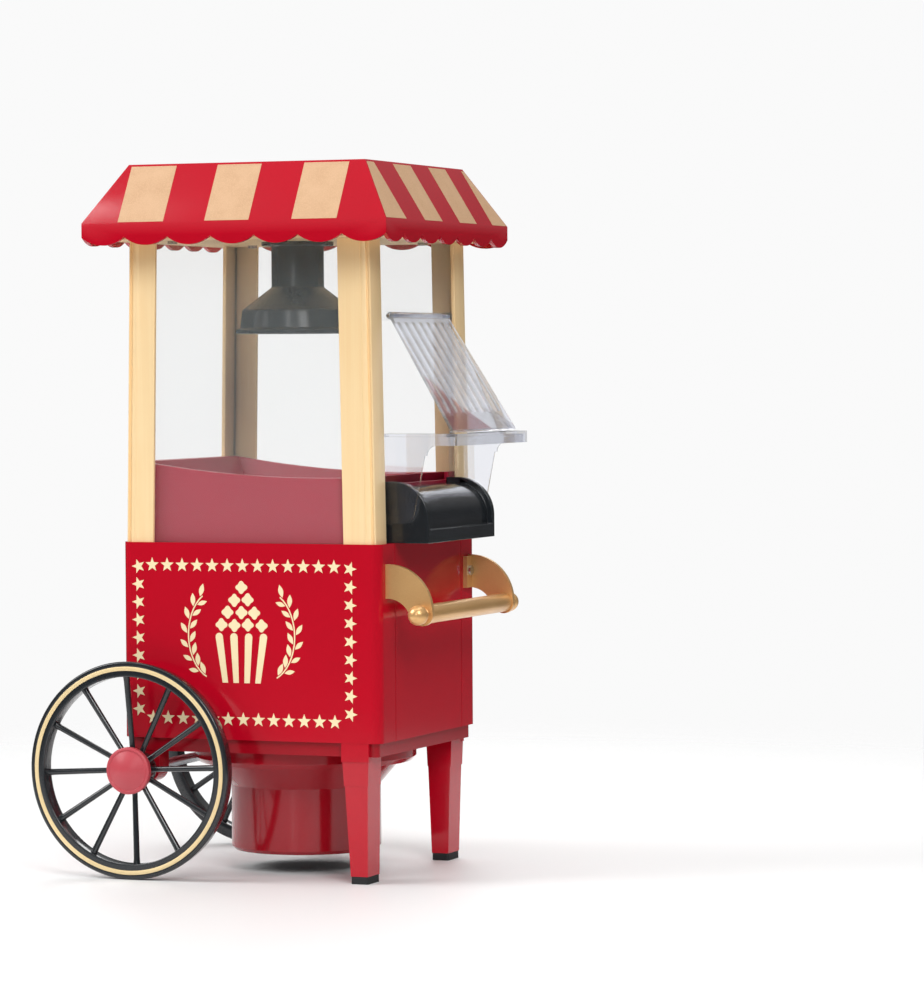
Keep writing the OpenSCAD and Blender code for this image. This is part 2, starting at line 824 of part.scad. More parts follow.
module roof_canopy() {
    slope_end = roof_slope_end / roof_rise;
    slope_side = roof_slope_side / roof_rise;
    in_end = wall * sqrt(1 + pow(slope_end, 2));
    in_side = wall * sqrt(1 + pow(slope_side, 2));
    drop = roof_rise - wall;
    ring_h = 8;
    color("crimson") at_body() difference() {
        union() {
            difference() {
                translate([0, 0, skirt_top]) sloped_block(skirt_l, skirt_d, crown_l, crown_d, roof_rise);
                translate([0, 0, skirt_top - hair]) sloped_block(
                    skirt_l - 2 * in_end, skirt_d - 2 * in_side,
                    skirt_l - 2 * in_end - 2 * slope_end * drop,
                    skirt_d - 2 * in_side - 2 * slope_side * drop, drop);
            }
            for (s = [-1, 1]) {
                across(s * skirt_d / 2 - (s > 0 ? wall : 0), s * skirt_d / 2 + (s > 0 ? 0 : wall))
                    skirt_outline(skirt_l);
                along(s * skirt_l / 2 - (s > 0 ? wall : 0), s * skirt_l / 2 + (s > 0 ? 0 : wall))
                    skirt_outline(skirt_d);
            }
            translate([0, 0, ceiling_top]) at_corners(roof_screw, roof_screw)
                cylinder(r = boss_r, h = roof_top - ceiling_top - 1);
            translate([feed_x, 0, roof_top - ring_h]) cylinder(r = cup_flange_r + 5, h = ring_h - 1);
        }
        translate([feed_x, 0, 0]) {
            translate([0, 0, roof_top - ring_h - 1]) cylinder(r = cup_r + 0.6, h = ring_h + 2);
            translate([0, 0, roof_top - wall - seat]) cylinder(r = cup_flange_r + 0.5, h = wall + 1);
        }
        translate([0, 0, ceiling_top - 1]) at_corners(roof_screw, roof_screw)
            cylinder(r = screw_r + run, h = 13);
    }
}

module roof_ceiling() {
    color("burlywood") at_body() difference() {
        translate([0, 0, ceiling_z]) linear_extrude(height = wall)
            square([skirt_l - 2 * wall - 2 * seat, skirt_d - 2 * wall - 2 * seat], center = true);
        translate([feed_x, 0, ceiling_z - 1]) cylinder(r = feed_bore_r, h = wall + 2);
        translate([0, 0, ceiling_z - 1]) at_corners(roof_screw, roof_screw)
            cylinder(r = screw_r + run, h = wall + 2);
    }
}

module ceiling_screws() {
    color("silver") at_body() translate([0, 0, ceiling_z]) at_corners(roof_screw, roof_screw)
        screw(13);
}

// Funnel between the roof's opening and the feed tube.
module feed_funnel() {
    well_r = cup_r + 3;
    t = 1.5;
    base = ceiling_top;
    top = roof_top - 8 - seat;
    knee = top - 24;
    color("crimson") at_body() translate([feed_x, 0, 0]) rotate_extrude() polygon([
        [feed_bore_r, base], [well_r + 3, base], [well_r + 3, base + t],
        [feed_bore_r + t + 3, base + t], [well_r + t, knee], [well_r + t, top], [well_r, top],
        [well_r, knee + 0.5], [feed_bore_r, base + 1]
    ]);
}

// Kettle-shaped hood that drops the corn into the chamber.
module feed_hood() {
    t = 2;
    top = ceiling_z;
    knee = feed_z + 27.5;
    brim = feed_z + 13.2;
    color("#3a3f44") at_body() translate([feed_x, 0, 0]) rotate_extrude() polygon([
        [feed_bore_r, top], [feed_tube_r + 6, top], [feed_tube_r + 6, top - 2.5],
        [feed_tube_r, top - 2.5], [feed_tube_r, knee + 1.5], [feed_tube_r + 1.5, knee],
        [feed_flange_r - 4.4, brim + 1.5], [feed_flange_r - 3.4, brim],
        [feed_flange_r - 2.4, feed_z + 3.6], [feed_flange_r - 0.6, feed_z + 3],
        [feed_flange_r, feed_z + 2.2], [feed_flange_r, feed_z],
        [feed_flange_r - 4.4, feed_z], [feed_flange_r - 5.6, brim - 1],
        [feed_bore_r + 1, knee - 1.5], [feed_bore_r, knee - 0.5]
    ]);
}

// Cup that measures the corn and plugs the roof when it is put back.
module measuring_cup() {
    t = 1.5;
    base = roof_top - cup_depth;
    color("darkred") at_body() translate([feed_x, 0, 0]) rotate_extrude() polygon([
        [0, base], [cup_r - 2, base], [cup_r, base + 2], [cup_r, roof_top - wall],
        [cup_flange_r, roof_top - wall], [cup_flange_r, roof_top], [cup_r - t, roof_top],
        [cup_r - t, base + t + 1], [cup_r - t - 1, base + t], [0, base + t]
    ]);
}

// ---------------------------------------------------------------- popper inside the body

module popping_chamber() {
    vents = 18;
    color("lightgray") at_body() translate([fan_x, 0, 0]) difference() {
        rotate_extrude($fn = 96) polygon([
            [0, chamber_z + 5], [12, chamber_z + 3], [26, chamber_z], [chamber_r - 4, chamber_z],
            [chamber_r, chamber_z + 4], [chamber_r, deck_z], [chamber_r + 6, deck_z],
            [chamber_r + 6, deck_z + sheet], [chamber_r - sheet, deck_z + sheet],
            [chamber_r - sheet, chamber_z + 4.6], [chamber_r - 4.6, chamber_z + sheet],
            [26.2, chamber_z + sheet], [12.2, chamber_z + 3 + sheet], [0, chamber_z + 5 + sheet]
        ]);
        for (i = [0 : vents - 1]) rotate([0, 0, i * 360 / vents])
            translate([chamber_r, 0, chamber_z + 12]) rotate([25, 0, 0])
                cube([10, 2.4, 10], center = true);
    }
}

module air_duct() {
    color("silver") at_body() translate([fan_x, 0, duct_floor + hair])
        tube(duct_r, duct_r - sheet, deck_z - wall - seat - duct_floor);
}

// Perforated steel plate across the duct that carries the motor and the heater.
module motor_plate() {
    color("gray") at_body() translate([fan_x, 0, motor_plate_z]) difference() {
        cylinder(r = duct_r - sheet - seat, h = 2);
        for (i = [0 : 3]) rotate([0, 0, 45 + 90 * i]) translate([38, 0, -1]) cylinder(r = 13, h = 4);
    }
}

module mica_frame() {
    h = 24;
    half = 42;
    color("tan") at_body() translate([fan_x, 0, motor_plate_z + 2]) difference() {
        for (a = [0, 90]) rotate([0, 0, a]) translate([-half, -0.6, 0]) cube([2 * half, 1.2, h]);
        for (i = [0 : len(coil_rings) - 1]) rotate_extrude()
            translate([coil_rings[i], 8 + 5 * i]) circle(r = 1.3);
    }
}

module heating_coil() {
    color("dimgray") at_body() translate([fan_x, 0, motor_plate_z + 2])
        for (i = [0 : len(coil_rings) - 1]) rotate_extrude()
            translate([coil_rings[i], 8 + 5 * i]) circle(r = 0.9);
}

module thermostat() {
    color("ivory") at_body() translate([fan_x - duct_r - seat, 0, body_z + 46]) rotate([0, -90, 0]) {
        cylinder(r = 8, h = 4);
        cylinder(r = 6, h = 7);
    }
}

module thermal_fuse() {
    color("lightgray") at_body() translate([fan_x - duct_r - seat - 2, 0, body_z + 28])
        rotate([90, 0, 0]) cylinder(r = 2, h = 12, center = true);
}

module fan_motor() {
    color("slategray") at_body() translate([fan_x, 0, motor_z]) difference() {
        union() {
            cylinder(r = motor_r, h = motor_plate_z - motor_z);
            translate([0, 0, -3]) cylinder(r = 6, h = 4);
        }
        translate([0, 0, -4]) cylinder(r = shaft_r + run, h = 26);
    }
}

module motor_shaft() {
    color("silver") at_body() translate([fan_x, 0, pot_clear + 8])
        cylinder(r = shaft_r, h = motor_z + 21 - pot_clear - 8);
}

module impeller() {
    blades = 9;
    base = pot_clear + 11;
    blade_h = 16;
    color("dimgray") at_body() translate([fan_x, 0, base]) difference() {
        union() {
            cylinder(r = impeller_r, h = 1.6);
            cylinder(r = 6.5, h = blade_h);
            for (i = [0 : blades - 1]) rotate([0, 0, i * 360 / blades])
                translate([14, 0, 1]) rotate([0, 0, 28]) cube([impeller_r - 17, 1.4, blade_h - 1]);
        }
        translate([0, 0, -1]) cylinder(r = shaft_r + hair, h = blade_h + 2);
    }
}

module rectifier_board() {
    board_t = 1.6;
    y = cover_d / 2 - wall - seat - board_t;
    color("seagreen") at_body() translate([-20, y, cover_z + wall + seat]) {
        cube([44, board_t, 34]);
        for (i = [0 : 3]) translate([7 + 10 * i, hair, 24]) rotate([90, 0, 0]) cylinder(r = 2, h = 4);
        translate([12, -2.6, 8]) cube([16, 2.6 + hair, 6]);
    }
}

// Insulated wires: gland to switch, and switch to thermostat.
module internal_wires() {
    r = 1.3;
    end_gap = 0.9;
    wire_x = -inner_l / 2 + 13;
    switch_side = switch_y - 10;
    color("firebrick") at_body() {
        rod([-inner_l / 2 + 8 + end_gap, gland_y, gland_z],
            [wire_x, switch_side - end_gap, switch_z - 9], r);
        rod([wire_x, switch_side - end_gap - r / 2, switch_z + 5],
            [fan_x - duct_r - seat - 5, 6 + r + end_gap, body_z + 46], r);
    }
}

// Round rod from a to b.
module rod(a, b, r) {
    d = b - a;
    length = norm(d);
    translate(a) rotate([0, acos(d[2] / length), atan2(d[1], d[0])]) cylinder(r = r, h = length);
}

module switch_housing() {
    flange = 1.8;
    color("black") at_body() translate([-end_x, switch_y, switch_z]) difference() {
        union() {
            translate([-flange, -12.5, -17.5]) cube([flange, 25, 35]);
            translate([-hair, -10, -15]) cube([19, 20, 30]);
        }
        translate([-flange - 1, -7.4, -13]) cube([flange + 9, 14.8, 26]);
        translate([2.5, 0, 0]) rotate([90, 0, 0]) cylinder(r = 1.5 + run, h = 18.4, center = true);
    }
}

// Rocker, tipped to its off side.
module switch_rocker() {
    color("red") at_body() translate([-end_x + 2.5, switch_y, switch_z]) rotate([0, -9, 0]) {
        across(-7, 7) polygon([[3, -9], [3, 9], [-4, 11], [-2.8, 0], [-4, -11]]);
        rotate([90, 0, 0]) cylinder(r = 1.5, h = 18, center = true);
    }
}

module cord_gland() {
    color("black") at_body() translate([-end_x, gland_y, gland_z]) rotate([0, 90, 0]) difference() {
        union() {
            translate([0, 0, -3]) cylinder(r1 = 6, r2 = 7.5, h = 3);
            translate([0, 0, -hair]) cylinder(r = 5, h = 8);
            translate([0, 0, wall + hair]) cylinder(r = 7.5, h = 4);
        }
        translate([0, 0, -4]) cylinder(r = 3.2, h = 14);
    }
}

body_shell();
base_cover();
base_screws();
fan_housing();
intake_grille();
leg_near();
leg_far();
foot_pads();
axle();
axle_bracket_near();
axle_bracket_far();
axle_spacers();
axle_push_nuts();
wheel_near();
wheel_far();
wheel_band_near();
wheel_band_far();
hub_cap_near();
hub_cap_far();
handle_bracket_near();
handle_bracket_far();
handle_bar();
handle_end_caps();
handle_screws();
post_near_wheel_end();
post_near_chute_end();
post_far_wheel_end();
post_far_chute_end();
pane_near();
pane_far();
pane_wheel_end();
pane_chute_end();
hopper_liner();
chute();
outlet_hood();
vent_flap();
flap_hinge_pins();
roof_canopy();
roof_ceiling();
ceiling_screws();
feed_funnel();
feed_hood();
measuring_cup();
popping_chamber();
air_duct();
mica_frame();
heating_coil();
thermostat();
thermal_fuse();
motor_plate();
fan_motor();
motor_shaft();
impeller();
rectifier_board();
internal_wires();
switch_housing();
switch_rocker();
cord_gland();
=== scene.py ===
"""Looks for the table-top popcorn cart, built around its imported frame.

Each sub-assembly is a class: its sizes are fields, build() makes the pieces that stand for
CAD nodes, and dress() gives the remaining CAD nodes their finishes and softened edges.
Sizes are in millimetres; meshes leave for Blender in metres, in the frame's own place.
"""

import logging
import math
from collections.abc import Callable, Iterable, Sequence
from dataclasses import dataclass
from enum import Enum

import bmesh
import bpy
from mathutils import Matrix, Vector


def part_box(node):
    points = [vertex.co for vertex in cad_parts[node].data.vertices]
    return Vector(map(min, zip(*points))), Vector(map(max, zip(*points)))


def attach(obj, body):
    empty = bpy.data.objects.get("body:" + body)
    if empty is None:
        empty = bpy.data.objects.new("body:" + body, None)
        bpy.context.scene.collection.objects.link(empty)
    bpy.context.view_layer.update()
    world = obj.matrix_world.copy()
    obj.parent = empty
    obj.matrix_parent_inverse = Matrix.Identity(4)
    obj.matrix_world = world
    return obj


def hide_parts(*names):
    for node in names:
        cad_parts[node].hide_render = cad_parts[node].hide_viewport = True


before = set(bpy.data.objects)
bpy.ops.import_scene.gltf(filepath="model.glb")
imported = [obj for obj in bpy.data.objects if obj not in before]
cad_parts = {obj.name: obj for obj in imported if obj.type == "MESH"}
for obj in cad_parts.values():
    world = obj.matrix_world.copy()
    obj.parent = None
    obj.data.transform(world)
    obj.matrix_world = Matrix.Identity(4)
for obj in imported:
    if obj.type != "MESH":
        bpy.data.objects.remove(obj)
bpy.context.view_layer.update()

log = logging.getLogger("popcorn_cart")
MM = 0.001
Point2 = tuple[float, float]
Point3 = tuple[float, float, float]
Poly = list[Point2]


class Side(Enum):
    """A long side or an end of the cart, by the direction that it faces."""

    NEAR = "near"
    FAR = "far"
    CHUTE = "chute"
    WHEEL = "wheel"


class Pattern(Enum):
    """How a surface's marks are laid out."""

    MOULDED = "even skin of a polished or etched mould"
    FLAKE = "metal flake in lacquer"
    TURNED = "rings left by spinning on a lathe"
    SPANGLE = "zinc crystals"
    FIBRE = "flat flakes or drawn lines"
    STREAK = "long upright streaks left by the spray gun"


# ---------------------------------------------------------------- finishes


def linear(hex_colour: str) -> tuple[float, float, float, float]:
    """Turns an sRGB hex colour into linear RGBA.

    Args:
        hex_colour: Six hex digits with a leading #.

    Returns:
        Linear red, green and blue, and an alpha of 1.
    """
    parts = [int(hex_colour[i : i + 2], 16) / 255 for i in (1, 3, 5)]
    lin = [c / 12.92 if c <= 0.04045 else ((c + 0.055) / 1.055) ** 2.4 for c in parts]
    return (lin[0], lin[1], lin[2], 1.0)


def add_node(
    tree: bpy.types.NodeTree, kind: str, inputs: dict | None = None, **settings: object
) -> bpy.types.Node:
    """Adds a node with its settings, values and links.

    Args:
        tree: The node tree that gets the node.
        kind: The node's type name.
        inputs: Values, or output sockets to link from, by socket name or index.
        **settings: Properties set on the node itself.

    Returns:
        The new node.
    """
    node = tree.nodes.new(kind)
    for key, value in settings.items():
        setattr(node, key, value)
    for key, value in (inputs or {}).items():
        if isinstance(value, bpy.types.NodeSocket):
            tree.links.new(value, node.inputs[key])
        else:
            node.inputs[key].default_value = value
    return node


@dataclass(frozen=True)
class Finish:
    """One real material and the way its surface was made.

    colour and shade are the two ends of its colour variation; mottle_mm is how broad that
    variation is and grain_mm how fine the skin is; relief_mm is the depth of that skin. A clear
    finish is seen through by 1 - alpha face on, and by 1 - rim_alpha where it is seen edge on.
    """

    name: str
    colour: str
    shade: str
    roughness: float
    pattern: Pattern = Pattern.MOULDED
    spread: float = 0.04
    metallic: float = 0.0
    ior: float = 1.5
    mottle_mm: float = 30.0
    grain_mm: float = 0.9
    relief_mm: float = 0.004
    coat: float = 0.0
    transmission: float = 0.0
    alpha: float = 1.0
    rim_alpha: float = 0.0
    anisotropy: float = 0.0

    def grain(self, tree: bpy.types.NodeTree, place: bpy.types.NodeSocket) -> bpy.types.NodeSocket:
        """Lays out the fine marks.

        Args:
            tree: The material's node tree.
            place: Object coordinates in metres.

        Returns:
            A value from 0 to 1 that follows the marks.
        """
        scale = 1 / (self.grain_mm * MM)
        if self.pattern is Pattern.SPANGLE:
            cells = add_node(tree, "ShaderNodeTexVoronoi", {"Vector": place, "Scale": scale})
            return cells.outputs["Color"]
        if self.pattern is Pattern.FLAKE:
            cells = add_node(tree, "ShaderNodeTexVoronoi", {"Vector": place, "Scale": scale})
            ramp = add_node(tree, "ShaderNodeMapRange", {
                "Value": cells.outputs["Distance"], "From Min": 0.1, "From Max": 0.6})
            return ramp.outputs["Result"]
        if self.pattern is Pattern.TURNED:
            rings = add_node(tree, "ShaderNodeTexWave", {
                "Vector": place, "Scale": scale / 20, "Distortion": 0.6, "Detail": 1.0},
                wave_type="BANDS", bands_direction="Z")
            return rings.outputs["Fac"]
        stretch = (1.0, 1.0, {Pattern.FIBRE: 9.0, Pattern.STREAK: 0.02}.get(self.pattern, 1.0))
        drawn = add_node(tree, "ShaderNodeVectorMath", {0: place, 1: stretch}, operation="MULTIPLY")
        noise = add_node(tree, "ShaderNodeTexNoise", {
            "Vector": drawn.outputs["Vector"], "Scale": scale, "Detail": 2.0})
        return noise.outputs["Fac"]

    def make(self) -> bpy.types.Material:
        """Makes the material, or returns the one already made.

        Returns:
            The finish as a Blender material.
        """
        if self.name in bpy.data.materials:
            return bpy.data.materials[self.name]
        material = bpy.data.materials.new(self.name)
        material.use_nodes = True
        tree = material.node_tree
        tree.nodes.clear()
        place = add_node(tree, "ShaderNodeTexCoord").outputs["Object"]
        mottle = add_node(tree, "ShaderNodeTexNoise", {
            "Vector": place, "Scale": 1 / (self.mottle_mm * MM), "Detail": 3.0})
        grain = self.grain(tree, place)
        share = add_node(tree, "ShaderNodeMath", {
            0: mottle.outputs["Fac"], 1: grain}, operation="MULTIPLY")
        colour = add_node(tree, "ShaderNodeMix", {
            "Factor": share.outputs["Value"], 6: linear(self.colour), 7: linear(self.shade)},
            data_type="RGBA")
        rough = add_node(tree, "ShaderNodeMapRange", {
            "Value": mottle.outputs["Fac"],
            "To Min": max(0.0, self.roughness - self.spread),
            "To Max": self.roughness + self.spread})
        bump = add_node(tree, "ShaderNodeBump", {
            "Height": grain, "Distance": self.relief_mm * MM, "Strength": 0.6})
        alpha = self.alpha
        if self.rim_alpha > 0:
            facing = add_node(tree, "ShaderNodeLayerWeight", {"Blend": 0.5}).outputs["Facing"]
            alpha = add_node(tree, "ShaderNodeMapRange", {
                "Value": facing, "From Min": 0.25, "From Max": 0.95, "To Min": self.alpha,
                "To Max": self.rim_alpha}).outputs["Result"]
        shader = add_node(tree, "ShaderNodeBsdfPrincipled", {
            "Base Color": colour.outputs[2], "Roughness": rough.outputs["Result"],
            "Normal": bump.outputs["Normal"], "Metallic": self.metallic, "IOR": self.ior,
            "Coat Weight": self.coat, "Coat Roughness": 0.05,
            "Transmission Weight": self.transmission, "Alpha": alpha,
            "Anisotropic": self.anisotropy})
        add_node(tree, "ShaderNodeOutputMaterial", {"Surface": shader.outputs["BSDF"]})
        return material


# Moulded ABS in red from a polished mould: a hard, clear gloss with a faint flow mottle.
GLOSS_RED_ABS = Finish("gloss_red_moulded_abs", "#BC0822", "#A8061C", 0.12)
# The same ABS painted a shade deeper: painted shade for the pot, base cover and axle brackets, which sit in
# the shadow under the body.
RED_ABS_PAINTED_SHADE = Finish("red_moulded_abs_painted_shade", "#A00A1C", "#8E0818", 0.15)
# Moulded polypropylene liner: waxy, muted red, a little dull.
LINER_RED_PP = Finish("satin_red_moulded_polypropylene", "#A81A36", "#96162E", 0.3, relief_mm=0.002)
# ABS sprayed with satin gold lacquer: pale and warm, with faint upright streaks.
GOLD_LACQUER = Finish("satin_gold_lacquer", "#FFE4B4", "#F2C07C", 0.32, Pattern.STREAK,
                      metallic=0.1, grain_mm=2.5, relief_mm=0.01, mottle_mm=60)
# Vacuum-plated and lacquered handle: deeper gold with a soft sheen.
GOLD_PLATE = Finish("satin_gold_plated_abs", "#E8BC80", "#C8935A", 0.3, Pattern.FLAKE,
                    metallic=0.5, grain_mm=0.3, relief_mm=0.002, mottle_mm=40)
# Hot-stamped stripe: matte tan foil with the speckle of the etched roof under it.
TAN_STRIPE = Finish("matte_tan_hot_stamp_foil", "#D3AB84", "#BA9068", 0.55, Pattern.FLAKE,
                    grain_mm=0.7, relief_mm=0.03, mottle_mm=12)
# Screen-printed ink: cream, dry, slightly proud.
CREAM_INK = Finish("cream_screen_print_ink", "#F4E2B8", "#E9D3A2", 0.5, grain_mm=0.3, relief_mm=0.006)
# Foil band pressed into the wheel's rim: cream gold.
CREAM_BAND = Finish("cream_pressed_foil_band", "#EED8A8", "#DCC08A", 0.42, Pattern.FLAKE,
                    metallic=0.15, grain_mm=0.3, relief_mm=0.004)
# Moulded ABS in black from a polished mould.
GLOSS_BLACK_ABS = Finish("gloss_black_moulded_abs", "#1D2023", "#292D31", 0.16, coat=0.2,
                         grain_mm=0.6, relief_mm=0.006)
# Black polypropylene with a fine etched skin: it greys in the light.
SATIN_BLACK_PP = Finish("satin_black_moulded_polypropylene", "#1D2328", "#2D343A", 0.24,
                        grain_mm=0.7, relief_mm=0.012, mottle_mm=6)
# Red ABS hub cap from an etched mould: soft and a little pink in the light.
HUB_RED_ABS = Finish("satin_red_moulded_abs", "#BC4650", "#AE3C46", 0.36, grain_mm=0.5, relief_mm=0.01)
# Crystal polystyrene: clear, with bright edges.
CLEAR_PANE = Finish("clear_extruded_styrene", "#DCE6E6", "#E6EEEE", 0.04, spread=0.01, ior=1.59,
                    relief_mm=0.0005, alpha=0.05)
# The moulded styrene of the flap and hood is thicker at its ribs and catches more light.
CLEAR_MOULDING = Finish("clear_moulded_styrene", "#D6DAEC", "#F0F2FA", 0.04, spread=0.02, ior=1.5,
                        relief_mm=0.0, transmission=1.0, alpha=0.35, rim_alpha=0.9)
# Nitrile rubber: black, dry, nearly matte.
BLACK_RUBBER = Finish("black_nitrile_rubber", "#17181A", "#222325", 0.72, grain_mm=0.7, relief_mm=0.03)
# Zinc-plated steel: bright, slightly blue.
PLATED_STEEL = Finish("zinc_plated_steel", "#C9CDD2", "#AEB3B9", 0.26, metallic=1.0, grain_mm=0.4,
                      relief_mm=0.003)
# Spun aluminium pan: concentric lathe rings.
SPUN_ALUMINIUM = Finish("spun_aluminium", "#D5D7D9", "#B9BCC0", 0.28, Pattern.TURNED, metallic=1.0,
                        grain_mm=0.6, relief_mm=0.01, anisotropy=0.5)
# Galvanised sheet: dull zinc with spangle.
GALVANISED = Finish("galvanised_steel_sheet", "#B9BFC4", "#8F969C", 0.42, Pattern.SPANGLE,
                    metallic=1.0, grain_mm=6.0, relief_mm=0.004)
# Phlogopite mica board: amber-brown layers of flakes.
MICA = Finish("phlogopite_mica_board", "#B09060", "#7D5F38", 0.45, Pattern.FIBRE, grain_mm=1.6,
              relief_mm=0.03)
# Nickel-chrome resistance wire, oxidised by heat.
NICHROME = Finish("oxidised_nickel_chrome_wire", "#6F675E", "#4B4640", 0.4, Pattern.FIBRE,
                  metallic=1.0, grain_mm=0.3)
# Drawn steel motor can with a dull passivated skin.
MOTOR_CAN = Finish("drawn_steel_motor_can", "#8D9298", "#6E7379", 0.36, Pattern.TURNED,
                   metallic=1.0, grain_mm=0.5, relief_mm=0.006)
# Glass-filled nylon: grey-black with a dry, fibrous skin.
FAN_NYLON = Finish("glass_filled_nylon", "#3B3E40", "#2B2D2F", 0.55, Pattern.FIBRE, grain_mm=0.8,
                   relief_mm=0.02)
# Glass-epoxy board under green solder mask.
CIRCUIT_BOARD = Finish("green_solder_mask_on_glass_epoxy", "#1F6B3A", "#17552D", 0.3, Pattern.FIBRE,
                       grain_mm=1.0, relief_mm=0.01)
# Braided glass sleeve soaked in silicone: brick red, matte.
WIRE_SLEEVE = Finish("silicone_glass_wire_sleeve", "#9C2B22", "#7E211A", 0.6, Pattern.FIBRE,
                     grain_mm=0.5, relief_mm=0.03)
# Glazed steatite body of the thermostat.
CERAMIC = Finish("pressed_steatite_ceramic", "#EEE9DC", "#DDD5C2", 0.38, grain_mm=0.5, relief_mm=0.01)
# Red polycarbonate rocker.
ROCKER_RED = Finish("gloss_red_moulded_polycarbonate", "#C81818", "#B21414", 0.18, coat=0.2)


# ---------------------------------------------------------------- shapes


def to_mesh(name: str, bm: bmesh.types.BMesh, finish: Finish, smooth: float = 32.0) -> bpy.types.Object:
    """Turns a bmesh in row-frame millimetres into an object in metres.

    Args:
        name: The piece's name.
        bm: The shape; it is freed.
        finish: What the piece is made of.
        smooth: Edges flatter than this many degrees shade smoothly.

    Returns:
        The object, linked to the scene.
    """
    bmesh.ops.recalc_face_normals(bm, faces=bm.faces)
    bmesh.ops.scale(bm, vec=(MM, MM, MM), verts=bm.verts)
    for face in bm.faces:
        face.smooth = True
    for edge in bm.edges:
        edge.smooth = edge.calc_face_angle(math.pi) < math.radians(smooth)
    mesh = bpy.data.meshes.new(name)
    bm.to_mesh(mesh)
    bm.free()
    mesh.materials.append(finish.make())
    piece = bpy.data.objects.new(name, mesh)
    bpy.context.scene.collection.objects.link(piece)
    return piece


def fillet(points: Sequence[tuple[float, float, float]], steps: int = 4) -> Poly:
    """Rounds the corners of a closed outline.

    Args:
        points: First and second coordinate of each corner, and its radius.
        steps: Straight steps in each rounded corner.

    Returns:
        The outline with its corners replaced by arcs.
    """
    out: Poly = []
    for i, (x, y, radius) in enumerate(points):
        corner = Vector((x, y))
        if radius <= 0:
            out.append((x, y))
            continue
        before = Vector(points[i - 1][:2]) - corner
        after = Vector(points[(i + 1) % len(points)][:2]) - corner
        half = before.angle(after) / 2
        cut = min(radius / math.tan(half), before.length * 0.48, after.length * 0.48)
        true_r = cut * math.tan(half)
        bisector = (before.normalized() + after.normalized()).normalized()
        centre = corner + bisector * (true_r / math.sin(half))
        start = corner + before.normalized() * cut - centre
        turn = math.pi - 2 * half
        sign = 1 if before.x * after.y - before.y * after.x < 0 else -1
        for k in range(steps + 1):
            a = sign * turn * k / steps
            out.append((centre.x + start.x * math.cos(a) - start.y * math.sin(a),
                        centre.y + start.x * math.sin(a) + start.y * math.cos(a)))
    return out


def skin(bm: bmesh.types.BMesh, rings: Sequence[Sequence[Vector]], loop: bool, cap: bool) -> None:
    """Joins rings of points into a surface.

    Args:
        bm: The mesh that gets the faces.
        rings: Closed rings with the same number of points.
        loop: Whether the last ring joins the first.
        cap: Whether the first and last rings are closed with a face.
    """
    rows = [[bm.verts.new(p) for p in ring] for ring in rings]
    count = len(rows[0])
    pairs = list(zip(rows, rows[1:]))
    if loop:
        pairs.append((rows[-1], rows[0]))
    for a, b in pairs:
        for i in range(count):
            j = (i + 1) % count
            bm.faces.new((a[i], a[j], b[j], b[i]))
    if cap:
        bm.faces.new(rows[0])
        bm.faces.new(rows[-1][::-1])


def lathe(bm: bmesh.types.BMesh, profile: Poly, place: Matrix, steps: int = 96) -> None:
    """Spins a closed outline of radius and height about an axis.

    Args:
        bm: The mesh that gets the faces.
        profile: Radius and height of each point.
        place: Moves the shape, spun about Z, to where it belongs.
        steps: Steps round the axis.
    """
    rings = []
    for i in range(steps):
        a = 2 * math.pi * i / steps
        rings.append([place @ Vector((max(r, 0.02) * math.cos(a), max(r, 0.02) * math.sin(a), z))
                      for r, z in profile])
    skin(bm, rings, loop=True, cap=False)


def tube(bm: bmesh.types.BMesh, path: Sequence[Vector], radii: Sequence[float], sides: int = 16) -> None:
    """Sweeps a circle along a path.

    Args:
        bm: The mesh that gets the faces.
        path: Points of the centre line.
        radii: Radius at each point.
        sides: Sides of the circle.
    """
    rings = []
    across = (path[1] - path[0]).orthogonal().normalized()
    for i, p in enumerate(path):
        ahead = (path[min(i + 1, len(path) - 1)] - path[max(i - 1, 0)]).normalized()
        across = (across - ahead * across.dot(ahead)).normalized()
        other = ahead.cross(across)
        rings.append([p + (across * math.cos(2 * math.pi * k / sides)
                           + other * math.sin(2 * math.pi * k / sides)) * radii[i]
                      for k in range(sides)])
    skin(bm, rings, loop=False, cap=True)


def plate(bm: bmesh.types.BMesh, outline: Poly, lay: Callable[[float, float, float], Vector],
          low: float, high: float) -> None:
    """Raises a flat outline into a thin plate.

    Args:
        bm: The mesh that gets the faces.
        outline: The plate's corners in its own plane.
        lay: Turns a point of the plane and its height into a place.
        low: Height of the underside.
        high: Height of the top.
    """
    skin(bm, [[lay(u, v, low) for u, v in outline], [lay(u, v, high) for u, v in outline]],
         loop=False, cap=True)


def arc(cx: float, cy: float, r: float, a0: float, a1: float, steps: int = 12) -> Poly:
    """Points of an arc from angle a0 to a1 in degrees, both ends included."""
    return [(cx + r * math.cos(math.radians(a0 + (a1 - a0) * k / steps)),
             cy + r * math.sin(math.radians(a0 + (a1 - a0) * k / steps))) for k in range(steps + 1)]


def clip(outline: Poly, nx: float, ny: float, reach: float) -> Poly:
    """Keeps the part of an outline where nx * x + ny * y <= reach."""
    out: Poly = []
    for i, (x1, y1) in enumerate(outline):
        x0, y0 = outline[i - 1]
        d0, d1 = nx * x0 + ny * y0 - reach, nx * x1 + ny * y1 - reach
        if d0 * d1 < 0:
            t = d0 / (d0 - d1)
            out.append((x0 + (x1 - x0) * t, y0 + (y1 - y0) * t))
        if d1 <= 0:
            out.append((x1, y1))
    return out


